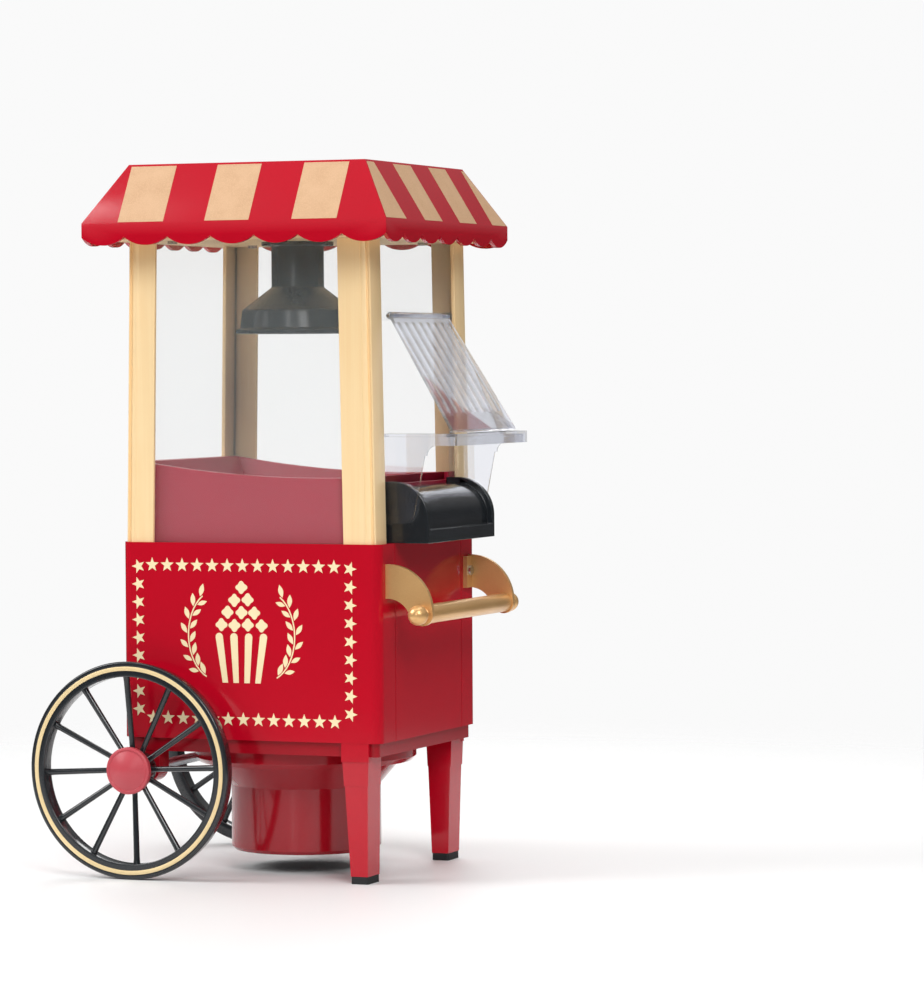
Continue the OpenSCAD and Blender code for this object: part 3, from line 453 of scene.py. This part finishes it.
def dress(finish: Finish, edge_mm: float, *names: str) -> None:
    """Gives CAD nodes a finish and rounds their sharp edges.

    Args:
        finish: What the nodes are made of.
        edge_mm: Radius of the moulded or broken edges; 0 leaves flat faces with sharp edges.
        *names: The nodes.
    """
    for name in names:
        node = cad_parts[name]
        node.data.materials.clear()
        node.data.materials.append(finish.make())
        if edge_mm == 0:
            if "custom_normal" in node.data.attributes:
                node.data.attributes.remove(node.data.attributes["custom_normal"])
            node.data.shade_flat()
        else:
            node.modifiers.new("join", "WELD").merge_threshold = 0.002 * MM
            bevel = node.modifiers.new("edges", "BEVEL")
            bevel.width = edge_mm * MM
            bevel.segments = 2
            bevel.limit_method = "ANGLE"
            bevel.angle_limit = math.radians(38)
            bevel.face_strength_mode = "FSTR_ALL"
            normals = node.modifiers.new("normals", "WEIGHTED_NORMAL")
            normals.use_face_influence = True
        log.info("%s: %s", name, finish.name)


def seat_piece(piece: bpy.types.Object, body: str, slot: str, *nodes: str) -> bpy.types.Object:
    """Lets a piece ride on a body and stand for CAD nodes.

    Args:
        piece: The piece, in place.
        body: The body that it moves with.
        slot: Not used.
        *nodes: The CAD nodes that it replaces.

    Returns:
        The piece.
    """
    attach(piece, body)
    if nodes:
        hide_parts(*nodes)
    log.info("%s rides on %s and stands for %s", piece.name, body, ", ".join(nodes) or "nothing")
    return piece


def centre_of(node: str) -> Vector:
    """Middle of a CAD node's box, in millimetres."""
    low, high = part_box(node)
    return (low + high) / 2 / MM


# ---------------------------------------------------------------- body


@dataclass
class BodyBox:
    """Moulded body, its base cover and the print on its long sides."""

    star_r: float = 4.5
    star_waist: float = 0.42
    column_left: float = -73.6
    column_right: float = 65.5
    column_top: float = 187.8
    column_low: float = 101.4
    column_stars: int = 9
    row_left: float = -64.4
    row_right: float = 55.3
    row_stars: int = 13
    row_top: float = 188.8
    row_low: float = 96.5
    ornament_u: float = -5.5
    carton_low: float = 118.5
    carton_top: float = 146.0
    carton_foot: float = 12.5
    carton_mouth: float = 17.0
    carton_bars: int = 7
    corn_rows: int = 4
    corn_pitch: float = 8.8
    corn_lift: float = 7.2
    spray_gap: float = 16.0
    spray_width: float = 19.0
    spray_height: float = 27.0
    spray_middle: float = 147.0
    leaf_pairs: int = 7
    leaf: float = 7.4
    ink: float = 0.12

    def star(self, u: float, v: float, turn: float) -> Poly:
        """Five-pointed star at u, v with its first tip turned from straight up, in degrees."""
        points = []
        for k in range(10):
            r = self.star_r if k % 2 == 0 else self.star_r * self.star_waist
            a = math.radians(90 + turn + 36 * k)
            points.append((u + r * math.cos(a), v + r * math.sin(a)))
        return points

    def border(self) -> list[Poly]:
        """Stars round the edge of the panel.

        Returns:
            One outline per star.
        """
        stars = []
        for k in range(self.column_stars):
            v = self.column_top + (self.column_low - self.column_top) * k / (self.column_stars - 1)
            stars.append(self.star(self.column_left, v, 18))
            stars.append(self.star(self.column_right, v, -18))
        for k in range(self.row_stars):
            u = self.row_left + (self.row_right - self.row_left) * k / (self.row_stars - 1)
            stars.append(self.star(u, self.row_top, 0))
            stars.append(self.star(u, self.row_low, 0))
        return stars

    def carton(self) -> list[Poly]:
        """Plain ornament for the middle of the panel: a striped carton of corn in a wreath.

        Returns:
            One outline per inked shape.
        """
        foot, mouth, bars = self.carton_foot, self.carton_mouth, self.carton_bars
        shapes: list[Poly] = []
        for k in range(0, bars, 2):
            a, b = -1 + 2 * k / bars, -1 + 2 * (k + 1) / bars
            top = arc(mouth * (a + b) / 2, self.carton_top, mouth / bars, 0, 180, 8)
            shapes.append([(foot * a, self.carton_low), (foot * b, self.carton_low), *top])
        for row in range(self.corn_rows):
            for k in range(self.corn_rows - row):
                u = self.corn_pitch * (k - (self.corn_rows - 1 - row) / 2)
                v = self.carton_top + self.corn_lift + 0.86 * self.corn_pitch * row
                shapes.append(self.popped(u, v, 40 * row + 25 * k))
        for side in (-1, 1):
            shapes.extend(self.spray(side))
        return [[(self.ornament_u + u, v) for u, v in shape] for shape in shapes]

    def popped(self, u: float, v: float, turn: float) -> Poly:
        """One popped corn at u, v as a four-lobed outline turned in degrees."""
        points = []
        for k in range(32):
            a = math.radians(turn + 360 * k / 32)
            r = self.corn_pitch * (0.39 + 0.06 * math.cos(4 * a) + 0.03 * math.cos(a + u))
            points.append((u + r * math.cos(a), v + r * math.sin(a)))
        return points

    def spray(self, side: int) -> list[Poly]:
        """Leaves on a bent stem beside the carton.

        Args:
            side: -1 is on the left and 1 on the right.

        Returns:
            One outline per leaf, and the stem.
        """

        def on_stem(angle: float, off: float) -> Vector:
            """Place at an angle round the stem's arc, and off to its outer side."""
            a = math.radians(angle)
            return Vector((side * (self.spray_gap + (self.spray_width + off) * math.cos(a)),
                           self.spray_middle + (self.spray_height + off) * math.sin(a)))

        steps = [-68 + 8.0 * k for k in range(17)]
        strokes = [[tuple(on_stem(a, 0.4)) for a in steps]
                   + [tuple(on_stem(a, -0.4)) for a in reversed(steps)]]
        for k in range(self.leaf_pairs):
            for lean in (-1, 1):
                angle = -58 + 18.0 * k + 6 * lean
                foot = on_stem(angle, 0.9 * lean)
                ahead = (on_stem(angle + 4, 0) - on_stem(angle - 4, 0)).normalized()
                out = (on_stem(angle, 1) - on_stem(angle, 0)).normalized() * lean
                tip = foot + (ahead * 0.82 + out * 0.57) * self.leaf
                across = Vector((-(tip - foot).y, (tip - foot).x)) * 0.2
                blade = []
                for j in range(13):
                    t = j / 12
                    blade.append((foot + (tip - foot) * t, across * math.sin(math.pi * t)))
                strokes.append([tuple(p + w) for p, w in blade]
                               + [tuple(p - w) for p, w in blade[-2:0:-1]])
        return strokes

    def build(self) -> None:
        """Makes the print on both long sides."""
        low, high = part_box("body_shell")
        cx = (low.x + high.x) / 2 / MM
        for name, sign, wall in (("print_near", 1, low.y / MM), ("print_far", -1, high.y / MM)):
            bm = bmesh.new()
            for outline in self.border() + self.carton():
                plate(bm, outline, lambda u, v, h: Vector((cx + sign * u, wall - sign * h, v)),
                      0.01, self.ink)
            seat_piece(to_mesh(name, bm, CREAM_INK), "cart", "cream_paint")

    def dress(self) -> None:
        """Finishes the body's CAD nodes."""
        dress(GLOSS_RED_ABS, 0.7, "body_shell")
        # The base cover takes the body red painted darker, as painted shade under the body.
        dress(RED_ABS_PAINTED_SHADE, 0.6, "base_cover")


# ---------------------------------------------------------------- base


@dataclass
class Base:
    """Fan pot, legs and feet."""

    def dress(self) -> None:
        """Finishes the base's CAD nodes."""
        # The pot takes the body red painted darker, as painted shade under the body.
        dress(RED_ABS_PAINTED_SHADE, 0.5, "fan_housing")
        dress(SATIN_BLACK_PP, 0.2, "intake_grille")
        dress(GLOSS_RED_ABS, 0.12, "leg_near", "leg_far")
        dress(BLACK_RUBBER, 0.4, "foot_pads")
        # The axle brackets take the body red painted darker, as painted shade under the body.
        dress(RED_ABS_PAINTED_SHADE, 0.4, "axle_bracket_near", "axle_bracket_far")
        dress(PLATED_STEEL, 0.2, "axle", "axle_push_nuts", "base_screws")
        dress(GLOSS_BLACK_ABS, 0.2, "axle_spacers")


# ---------------------------------------------------------------- wheels


@dataclass
class Wheel:
    """One spoked wheel with its foil band and hub cap."""

    side: Side
    radius: float = 65.7
    rim_in: float = 56.5
    rim_w: float = 10.0
    band_out: float = 62.8
    band_in: float = 60.2
    band_deep: float = 0.6
    hub_r: float = 10.5
    hub_len: float = 18.0
    bore: float = 3.05
    spokes: int = 12
    turn: float = 3.0
    dish: float = 3.0
    spoke_depth: float = 5.2
    spoke_r: float = 1.6
    spoke_growth: float = 0.3
    tip_flare: float = 0.3
    root_flare: float = 0.7
    cap_r: float = 14.2
    cap_rise: float = 4.1
    cap_rim: float = 2.6
    cap_back: float = 2.9

    @property
    def sign(self) -> int:
        """-1 on the near side and 1 on the far side."""
        return -1 if self.side is Side.NEAR else 1

    def place(self) -> Matrix:
        """Puts a shape whose outward side is +Z on the wheel's axis."""
        name = f"wheel_{self.side.value}"
        low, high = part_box(name)
        middle = centre_of(name)
        face = (low.y if self.sign < 0 else high.y) / MM
        turn = Matrix.Rotation(math.radians(-90 * self.sign), 4, "X")
        return Matrix.Translation((middle.x, face, middle.z)) @ turn

    def build(self) -> None:
        """Makes the wheel's moulding, band and cap."""
        self.build_moulding()
        self.build_band()
        self.build_cap()

    def build_moulding(self) -> None:
        """Makes the rim with its groove, the hub and the spokes between them."""
        place = self.place()
        bm = bmesh.new()
        deep = self.band_deep
        lathe(bm, fillet([
            (self.rim_in, -0.4, 0.9), (self.rim_in, -self.rim_w, 0.9),
            (self.radius - 1.2, -self.rim_w, 0.8), (self.radius, -1.4, 0.9),
            (self.radius - 0.6, 0, 0.9), (self.band_out, 0, 0.15), (self.band_out, -deep, 0),
            (self.band_in, -deep, 0), (self.band_in, 0, 0.15), (self.rim_in + 0.4, 0, 0.6)], 3),
            place, 144)
        lathe(bm, fillet([
            (self.bore, -3.4, 0.3), (self.hub_r, -3.4, 0.8), (self.hub_r, -self.hub_len, 0.8),
            (self.bore, -self.hub_len, 0.3)], 3), place, 64)
        start, span = self.hub_r - 1, self.rim_in - self.hub_r + 2
        for k in range(self.spokes):
            a = math.radians(90 - self.sign * self.turn + k * 360 / self.spokes)
            path, radii = [], []
            for j in range(13):
                t = j / 12
                r = start + span * t
                z = -self.spoke_depth - self.dish * (1 - t)
                path.append(place @ Vector((r * math.cos(a), r * math.sin(a), z)))
                tip = self.tip_flare * max(0.0, (t - 0.9) / 0.1) ** 2
                root = self.root_flare * max(0.0, (0.12 - t) / 0.12) ** 2
                radii.append(self.spoke_r + self.spoke_growth * t + tip + root)
            tube(bm, path, radii, 16)
        name = self.side.value
        seat_piece(to_mesh(f"{name}_wheel_moulding", bm, GLOSS_BLACK_ABS), f"{name}_wheel",
                   "gloss_black_abs", f"wheel_{name}")

    def build_band(self) -> None:
        """Makes the foil band in the rim's groove."""
        bm = bmesh.new()
        deep = self.band_deep
        lathe(bm, fillet([
            (self.band_in + 0.03, -deep + 0.01, 0), (self.band_out - 0.03, -deep + 0.01, 0),
            (self.band_out - 0.03, 0.1, 0.2), (self.band_out - 0.9, 0.3, 0.4),
            (self.band_in + 0.9, 0.3, 0.4), (self.band_in + 0.03, 0.1, 0.2)], 3), self.place(), 144)
        name = self.side.value
        seat_piece(to_mesh(f"{name}_wheel_foil", bm, CREAM_BAND), f"{name}_wheel", "cream_paint",
                   f"wheel_band_{name}")

    def build_cap(self) -> None:
        """Makes the domed hub cap with its raised rim."""
        bm = bmesh.new()
        r, foot = self.cap_r, 0.8
        dome = [((r - self.cap_rim) * (1 - t),
                 foot + (self.cap_rise - foot) * math.sin(math.pi / 2 * t), 0)
                for t in (j / 12 for j in range(13))]
        lathe(bm, fillet([
            (0, -self.cap_back, 0), (r, -self.cap_back, 0.3), (r, 0.5, 0.6), (r - 1.7, 1.1, 0.5),
            (r - 2.1, 0.6, 0.2), *dome]), self.place(), 96)
        name = self.side.value
        seat_piece(to_mesh(f"{name}_hub_cap", bm, HUB_RED_ABS), f"{name}_wheel", "satin_red_cap",
                   f"hub_cap_{name}")


# ---------------------------------------------------------------- handle


@dataclass
class Handle:
    """Push bar between two crescent brackets."""

    bar_r: float = 5.7
    core_r: float = 3.0
    span: float = 135.0
    bracket_t: float = 3.0

    def place(self, y: float, turn: float) -> Matrix:
        """Puts a shape spun about Z on the bar's axis, at y, turned about X in degrees."""
        middle = centre_of("handle_bar")
        return (Matrix.Translation((middle.x, y, middle.z))
                @ Matrix.Rotation(math.radians(turn), 4, "X"))

    def build(self) -> None:
        """Makes the bar and its two end caps."""
        half, inner = self.span / 2, self.span / 2 - self.bracket_t
        bm = bmesh.new()
        lathe(bm, fillet([
            (0, -half, 0), (self.core_r, -half, 0), (self.core_r, -inner, 0),
            (self.bar_r, -inner, 0.8), (self.bar_r, inner, 0.8), (self.core_r, inner, 0),
            (self.core_r, half, 0), (0, half, 0)]), self.place(0, 90), 64)
        seat_piece(to_mesh("push_bar", bm, GOLD_PLATE), "cart", "satin_gold_handle", "handle_bar")
        bm = bmesh.new()
        ball = self.bar_r + 0.3
        for turn, y in ((90, -half), (-90, half)):
            knob = arc(0, 6.6, ball, -52, 90, 14)
            lathe(bm, [(0.0, 0.0), (self.core_r + 1.2, 0.0), (self.core_r + 1.6, 0.4),
                       (self.core_r + 1.6, 1.2), *knob[:-1], (0.0, 6.6 + ball)],
                  self.place(y, turn), 48)
        seat_piece(to_mesh("push_bar_knobs", bm, GOLD_PLATE), "cart", "satin_gold_handle",
                   "handle_end_caps")

    def dress(self) -> None:
        """Finishes the handle's CAD nodes."""
        dress(GOLD_PLATE, 0.5, "handle_bracket_near", "handle_bracket_far")
        dress(PLATED_STEEL, 0.3, "handle_screws")


# ---------------------------------------------------------------- cabinet


@dataclass
class Post:
    """Angle-section corner post with a groove and a bead along its outer corner."""

    node: str
    sx: int
    sy: int
    width: float
    end_width: float = 16.6
    wall: float = 2.5
    lean: float = 3.0
    groove_deep: float = 1.3

    def section(self) -> Poly:
        """Outline of the post's section, with its outer corner at the origin."""
        groove_in, groove_out, deep = -2.7, -0.9, self.groove_deep
        bead = [(-6.4 + 0.6 * k, -0.35 + 0.3 * math.sin(math.pi * k / 6), 0) for k in range(7)]
        return fillet([
            (-self.width, -0.1, 0.4), (-6.6, -0.1, 0.1), *bead, (groove_in, -deep, 0.2),
            (groove_out - 0.2, -deep, 0.2), (groove_out, -0.1, 0.3), (0, -0.4, 0.5),
            (0, -self.end_width, 0.4), (-self.wall, -self.end_width, 0.4),
            (-self.wall, -self.wall, 0.3), (-self.width, -self.wall, 0.4)], 3)

    def build(self) -> None:
        """Makes the post."""
        low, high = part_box(self.node)
        x_foot = (high.x if self.sx > 0 else low.x) / MM
        y = (high.y if self.sy > 0 else low.y) / MM
        bm = bmesh.new()
        rings = []
        for k in range(9):
            t = k / 8
            z = low.z / MM + (high.z - low.z) / MM * t
            rings.append([Vector((x_foot - self.sx * self.lean * t + self.sx * u, y + self.sy * v, z))
                          for u, v in self.section()])
        skin(bm, rings, loop=False, cap=True)
        name = self.node.replace("post_", "corner_post_")
        seat_piece(to_mesh(name, bm, GOLD_LACQUER), "cart", "satin_gold_post", self.node)


@dataclass
class Cabinet:
    """Four posts and the panes between them."""

    width_wheel: float = 17.5
    width_chute: float = 21.0

    def build(self) -> None:
        """Makes the posts."""
        for depth, sy in ((Side.NEAR, -1), (Side.FAR, 1)):
            for end, sx, width in ((Side.WHEEL, -1, self.width_wheel), (Side.CHUTE, 1, self.width_chute)):
                Post(f"post_{depth.value}_{end.value}_end", sx, sy, width).build()

    def dress(self) -> None:
        """Finishes the panes."""
        dress(CLEAR_PANE, 0.0, "pane_near", "pane_far", "pane_wheel_end", "pane_chute_end")


# ---------------------------------------------------------------- outlet


@dataclass
class Outlet:
    """Hopper liner, chute, clear hood and vent flap."""

    def dress(self) -> None:
        """Finishes the outlet's CAD nodes."""
        dress(LINER_RED_PP, 0.4, "hopper_liner")
        dress(GLOSS_BLACK_ABS, 0.5, "chute")
        dress(CLEAR_MOULDING, 0.0, "outlet_hood", "vent_flap")
        dress(PLATED_STEEL, 0.1, "flap_hinge_pins")


# ---------------------------------------------------------------- roof


@dataclass
class Roof:
    """Scalloped canopy with its tan stripes, ceiling, funnel and feed hood."""

    fold_z: float = 394.4
    slope_end: float = 21.9
    slope_side: float = 20.8
    top_margin: float = 1.5
    foil: float = 0.1
    hood_knee: float = 27.5
    hood_brim: float = 13.2
    hood_tube_r: float = 16.1
    hood_bore_r: float = 14.1
    side_stripes: tuple[Point2, ...] = ((-75.1, -45.1), (-17.9, 10.9), (38.7, 67.7))
    end_stripes: tuple[Point2, ...] = ((-98.0, -66.0), (-37.0, -9.5), (18.7, 46.3), (73.0, 98.0))

    def stripes(self, side: Side) -> list[tuple[Poly, Callable[[float, float, float], Vector]]]:
        """Outlines of one slope's stripes and the way onto that slope.

        Args:
            side: The slope.

        Returns:
            Pairs of an outline and the function that lays it on the slope.
        """
        low, high = (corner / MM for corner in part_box("roof_canopy"))
        cx = (low.x + high.x) / 2
        rise = high.z - self.fold_z
        along_x = side in (Side.NEAR, Side.FAR)
        sign = -1 if side in (Side.NEAR, Side.WHEEL) else 1
        edge = (high.y - low.y if along_x else high.x - low.x) / 2
        half = (high.x - low.x if along_x else high.y - low.y) / 2
        run_in = self.slope_side if along_x else self.slope_end
        hip = self.slope_end if along_x else self.slope_side
        length = math.hypot(run_in, rise)

        def lay(u: float, v: float, h: float) -> Vector:
            """Lays u across the slope, v up it and h off it."""
            out = edge - run_in * v / length + h * rise / length
            z = self.fold_z + rise * v / length + h * run_in / length
            if along_x:
                return Vector((cx - sign * u, sign * out, z))
            return Vector((cx + sign * out, sign * u, z))

        found = []
        for a, b in self.side_stripes if along_x else self.end_stripes:
            outline = [(a, 0.5), (b, 0.5), (b, length - self.top_margin), (a, length - self.top_margin)]
            for s in (-1, 1):
                outline = clip(outline, s, hip / length, half - 1.0)
            found.append((outline, lay))
        return found

    def build(self) -> None:
        """Makes the stripes and the feed bell."""
        self.build_bell()
        self.build_stripes()

    def build_bell(self) -> None:
        """Makes the bell that hangs from the ceiling and guides the kernels down."""
        low, high = (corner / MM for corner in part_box("feed_hood"))
        top = high.z - low.z
        place = Matrix.Translation(((low.x + high.x) / 2, (low.y + high.y) / 2, low.z))
        knee, brim, tube_r, bore_r = self.hood_knee, self.hood_brim, self.hood_tube_r, self.hood_bore_r
        flange = (high.x - low.x) / 2
        bm = bmesh.new()
        lathe(bm, fillet([
            (bore_r, top, 0), (tube_r + 6, top, 0.3), (tube_r + 6, top - 2.5, 0.6), (tube_r, top - 2.5, 0.8),
            (tube_r, knee + 0.8, 1.6), (flange - 4, brim + 1.2, 2.6), (flange - 2.6, 3.4, 0.9),
            (flange, 2.3, 0.5), (flange, 0, 0.4), (flange - 4.4, 0, 0.5), (flange - 5.6, brim - 1, 1.5),
            (bore_r + 1, knee - 1.5, 1.0), (bore_r, knee - 2.0, 0.5)]), place, 128)
        seat_piece(to_mesh("feed_bell", bm, SATIN_BLACK_PP), "roof", "satin_black_pp", "feed_hood")

    def build_stripes(self) -> None:
        """Makes the stripes of all four slopes."""
        for side in Side:
            bm = bmesh.new()
            for outline, lay in self.stripes(side):
                plate(bm, outline, lay, 0.01, self.foil)
            seat_piece(to_mesh(f"roof_stripes_{side.value}", bm, TAN_STRIPE), "roof", "cream_paint")

    def dress(self) -> None:
        """Finishes the roof's CAD nodes."""
        dress(GLOSS_RED_ABS, 0.7, "roof_canopy")
        dress(GLOSS_RED_ABS, 0.3, "feed_funnel", "measuring_cup")
        dress(GOLD_LACQUER, 0.3, "roof_ceiling")
        dress(PLATED_STEEL, 0.3, "ceiling_screws")


# ---------------------------------------------------------------- popper and electrics


@dataclass
class Popper:
    """Hot-air popper inside the body, with its fan and wiring."""

    def dress(self) -> None:
        """Finishes the popper's CAD nodes."""
        dress(SPUN_ALUMINIUM, 0.3, "popping_chamber")
        dress(GALVANISED, 0.2, "air_duct", "motor_plate")
        dress(MICA, 0.1, "mica_frame")
        dress(NICHROME, 0.0, "heating_coil")
        dress(CERAMIC, 0.3, "thermostat")
        dress(PLATED_STEEL, 0.2, "thermal_fuse", "motor_shaft")
        dress(MOTOR_CAN, 0.4, "fan_motor")
        dress(FAN_NYLON, 0.2, "impeller")
        dress(CIRCUIT_BOARD, 0.1, "rectifier_board")
        dress(WIRE_SLEEVE, 0.1, "internal_wires")
        dress(GLOSS_BLACK_ABS, 0.4, "switch_housing", "cord_gland")
        dress(ROCKER_RED, 0.3, "switch_rocker")


# ---------------------------------------------------------------- studio


# Name, place in metres, width and height in metres, and power in watts.
SOFTBOXES: tuple[tuple[str, Point3, Point2, float], ...] = (
    ("right_softbox", (1.5, -1.8, 1.75), (1.1, 1.1), 38),
    ("left_softbox", (-1.9, -1.0, 1.75), (1.4, 1.4), 44),
    ("top_softbox", (0.0, 0.1, 2.0), (1.6, 1.6), 15),
    ("back_softbox", (-0.5, 1.8, 1.75), (1.3, 1.3), 22),
    ("front_strip", (0.15, -2.2, 0.9), (0.3, 1.2), 5),
)


@dataclass
class Studio:
    """Pale floor, soft lights and the camera."""

    position: Point3 = (1055.07, -2353.28, 310.28)
    yaw: float = 21.843
    pitch: float = -1.891
    roll: float = -0.325
    lens: float = 150.85
    sensor: float = 36.0
    backdrop: float = 0.955
    sky: float = 0.42
    band: float = 0.06
    ground: float = 0.14
    paper: float = 0.86
    aim: Point3 = (0.0, 0.0, 0.22)
    floor_half: float = 1.2

    def camera(self) -> None:
        """Makes the camera and makes it the scene's own."""
        yaw, pitch, roll = (math.radians(a) for a in (self.yaw, self.pitch, self.roll))
        ahead = Vector((-math.sin(yaw) * math.cos(pitch), math.cos(yaw) * math.cos(pitch), math.sin(pitch)))
        right = Vector((math.cos(yaw), math.sin(yaw), 0.0))
        up = right.cross(ahead)
        tilted_right = right * math.cos(roll) + up * math.sin(roll)
        tilted_up = up * math.cos(roll) - right * math.sin(roll)
        data = bpy.data.cameras.new("camera")
        data.lens, data.sensor_width = self.lens, self.sensor
        data.clip_start, data.clip_end = 0.1, 50.0
        camera = bpy.data.objects.new("camera", data)
        turn = Matrix((tilted_right, tilted_up, -ahead)).transposed().to_4x4()
        camera.matrix_world = Matrix.Translation(Vector(self.position) * MM) @ turn
        bpy.context.scene.collection.objects.link(camera)
        bpy.context.scene.camera = camera

    def lamp(self, name: str, place: Point3, aim: Point3, size: Point2, power: float) -> None:
        """Hangs a softbox.

        Args:
            name: The lamp's name.
            place: Where it hangs, in metres.
            aim: The point that it faces, in metres.
            size: Its width and height, in metres.
            power: Its power in watts.
        """
        data = bpy.data.lights.new(name, "AREA")
        data.shape, data.size, data.size_y, data.energy = "RECTANGLE", size[0], size[1], power
        lamp = bpy.data.objects.new(name, data)
        lamp.location = place
        lamp.rotation_mode = "QUATERNION"
        lamp.rotation_quaternion = (Vector(aim) - Vector(place)).to_track_quat("-Z", "Y")
        bpy.context.scene.collection.objects.link(lamp)

    def tent(self) -> None:
        """Makes the world: a white backdrop, with a greyer band at eye level for reflections."""
        world = bpy.data.worlds.new("white_tent")
        world.use_nodes = True
        tree = world.node_tree
        tree.nodes.clear()
        direction = add_node(tree, "ShaderNodeTexCoord").outputs["Generated"]
        height = add_node(tree, "ShaderNodeSeparateXYZ", {"Vector": direction}).outputs["Z"]
        above = add_node(tree, "ShaderNodeMapRange", {
            "Value": height, "From Min": 0.12, "From Max": 0.6, "To Min": self.band,
            "To Max": self.sky}).outputs["Result"]
        below = add_node(tree, "ShaderNodeMapRange", {
            "Value": height, "From Min": -0.02, "From Max": -0.1, "To Min": 0.0,
            "To Max": self.ground - self.band}).outputs["Result"]
        glow = add_node(tree, "ShaderNodeMath", {0: above, 1: below}, operation="ADD")
        path = add_node(tree, "ShaderNodeLightPath")
        seen = add_node(tree, "ShaderNodeMath", {
            0: path.outputs["Is Camera Ray"], 1: path.outputs["Is Transmission Ray"]},
            operation="MAXIMUM")
        strength = add_node(tree, "ShaderNodeMix", {
            "Factor": seen.outputs["Value"], 2: glow.outputs["Value"], 3: self.backdrop})
        light = add_node(tree, "ShaderNodeBackground", {
            "Color": linear("#FFFFFF"), "Strength": strength.outputs[0]})
        add_node(tree, "ShaderNodeOutputWorld", {"Surface": light.outputs["Background"]})
        bpy.context.scene.world = world

    def floor(self) -> None:
        """Lays a white floor that fades into the backdrop away from the cart."""
        material = bpy.data.materials.new("white_paper_sweep")
        material.use_nodes = True
        tree = material.node_tree
        tree.nodes.clear()
        place = add_node(tree, "ShaderNodeTexCoord").outputs["Object"]
        far = add_node(tree, "ShaderNodeVectorMath", {0: place}, operation="LENGTH")
        fade = add_node(tree, "ShaderNodeMapRange", {
            "Value": far.outputs["Value"], "From Min": 0.45, "From Max": 1.1, "To Min": 1.0,
            "To Max": 0.0}, interpolation_type="SMOOTHSTEP")
        paper = add_node(tree, "ShaderNodeBsdfPrincipled", {
            "Base Color": (self.paper,) * 3 + (1.0,), "Roughness": 0.45,
            "Alpha": fade.outputs["Result"]})
        add_node(tree, "ShaderNodeOutputMaterial", {"Surface": paper.outputs["BSDF"]})
        mesh = bpy.data.meshes.new("floor")
        half = self.floor_half
        mesh.from_pydata([(-half, -half, 0), (half, -half, 0), (half, half, 0), (-half, half, 0)], [],
                         [(0, 1, 2, 3)])
        mesh.materials.append(material)
        floor = bpy.data.objects.new("floor", mesh)
        bpy.context.scene.collection.objects.link(floor)

    def build(self) -> None:
        """Sets up floor, world, lights and camera."""
        self.tent()
        self.floor()
        for name, place, size, power in SOFTBOXES:
            self.lamp(name, place, self.aim, size, power)
        bpy.context.scene.view_settings.view_transform = "Standard"
        self.camera()


def main() -> None:
    """Builds the studio and every sub-assembly in order."""
    logging.basicConfig(level=logging.INFO, format="%(message)s")
    Studio().build()
    assemblies: Iterable[object] = (
        BodyBox(), Base(), Wheel(Side.NEAR), Wheel(Side.FAR), Handle(), Cabinet(), Outlet(), Roof(),
        Popper())
    for assembly in assemblies:
        for step in ("build", "dress"):
            if hasattr(assembly, step):
                getattr(assembly, step)()
        log.info("%s done", type(assembly).__name__)


if __name__ == "__main__":
    main()
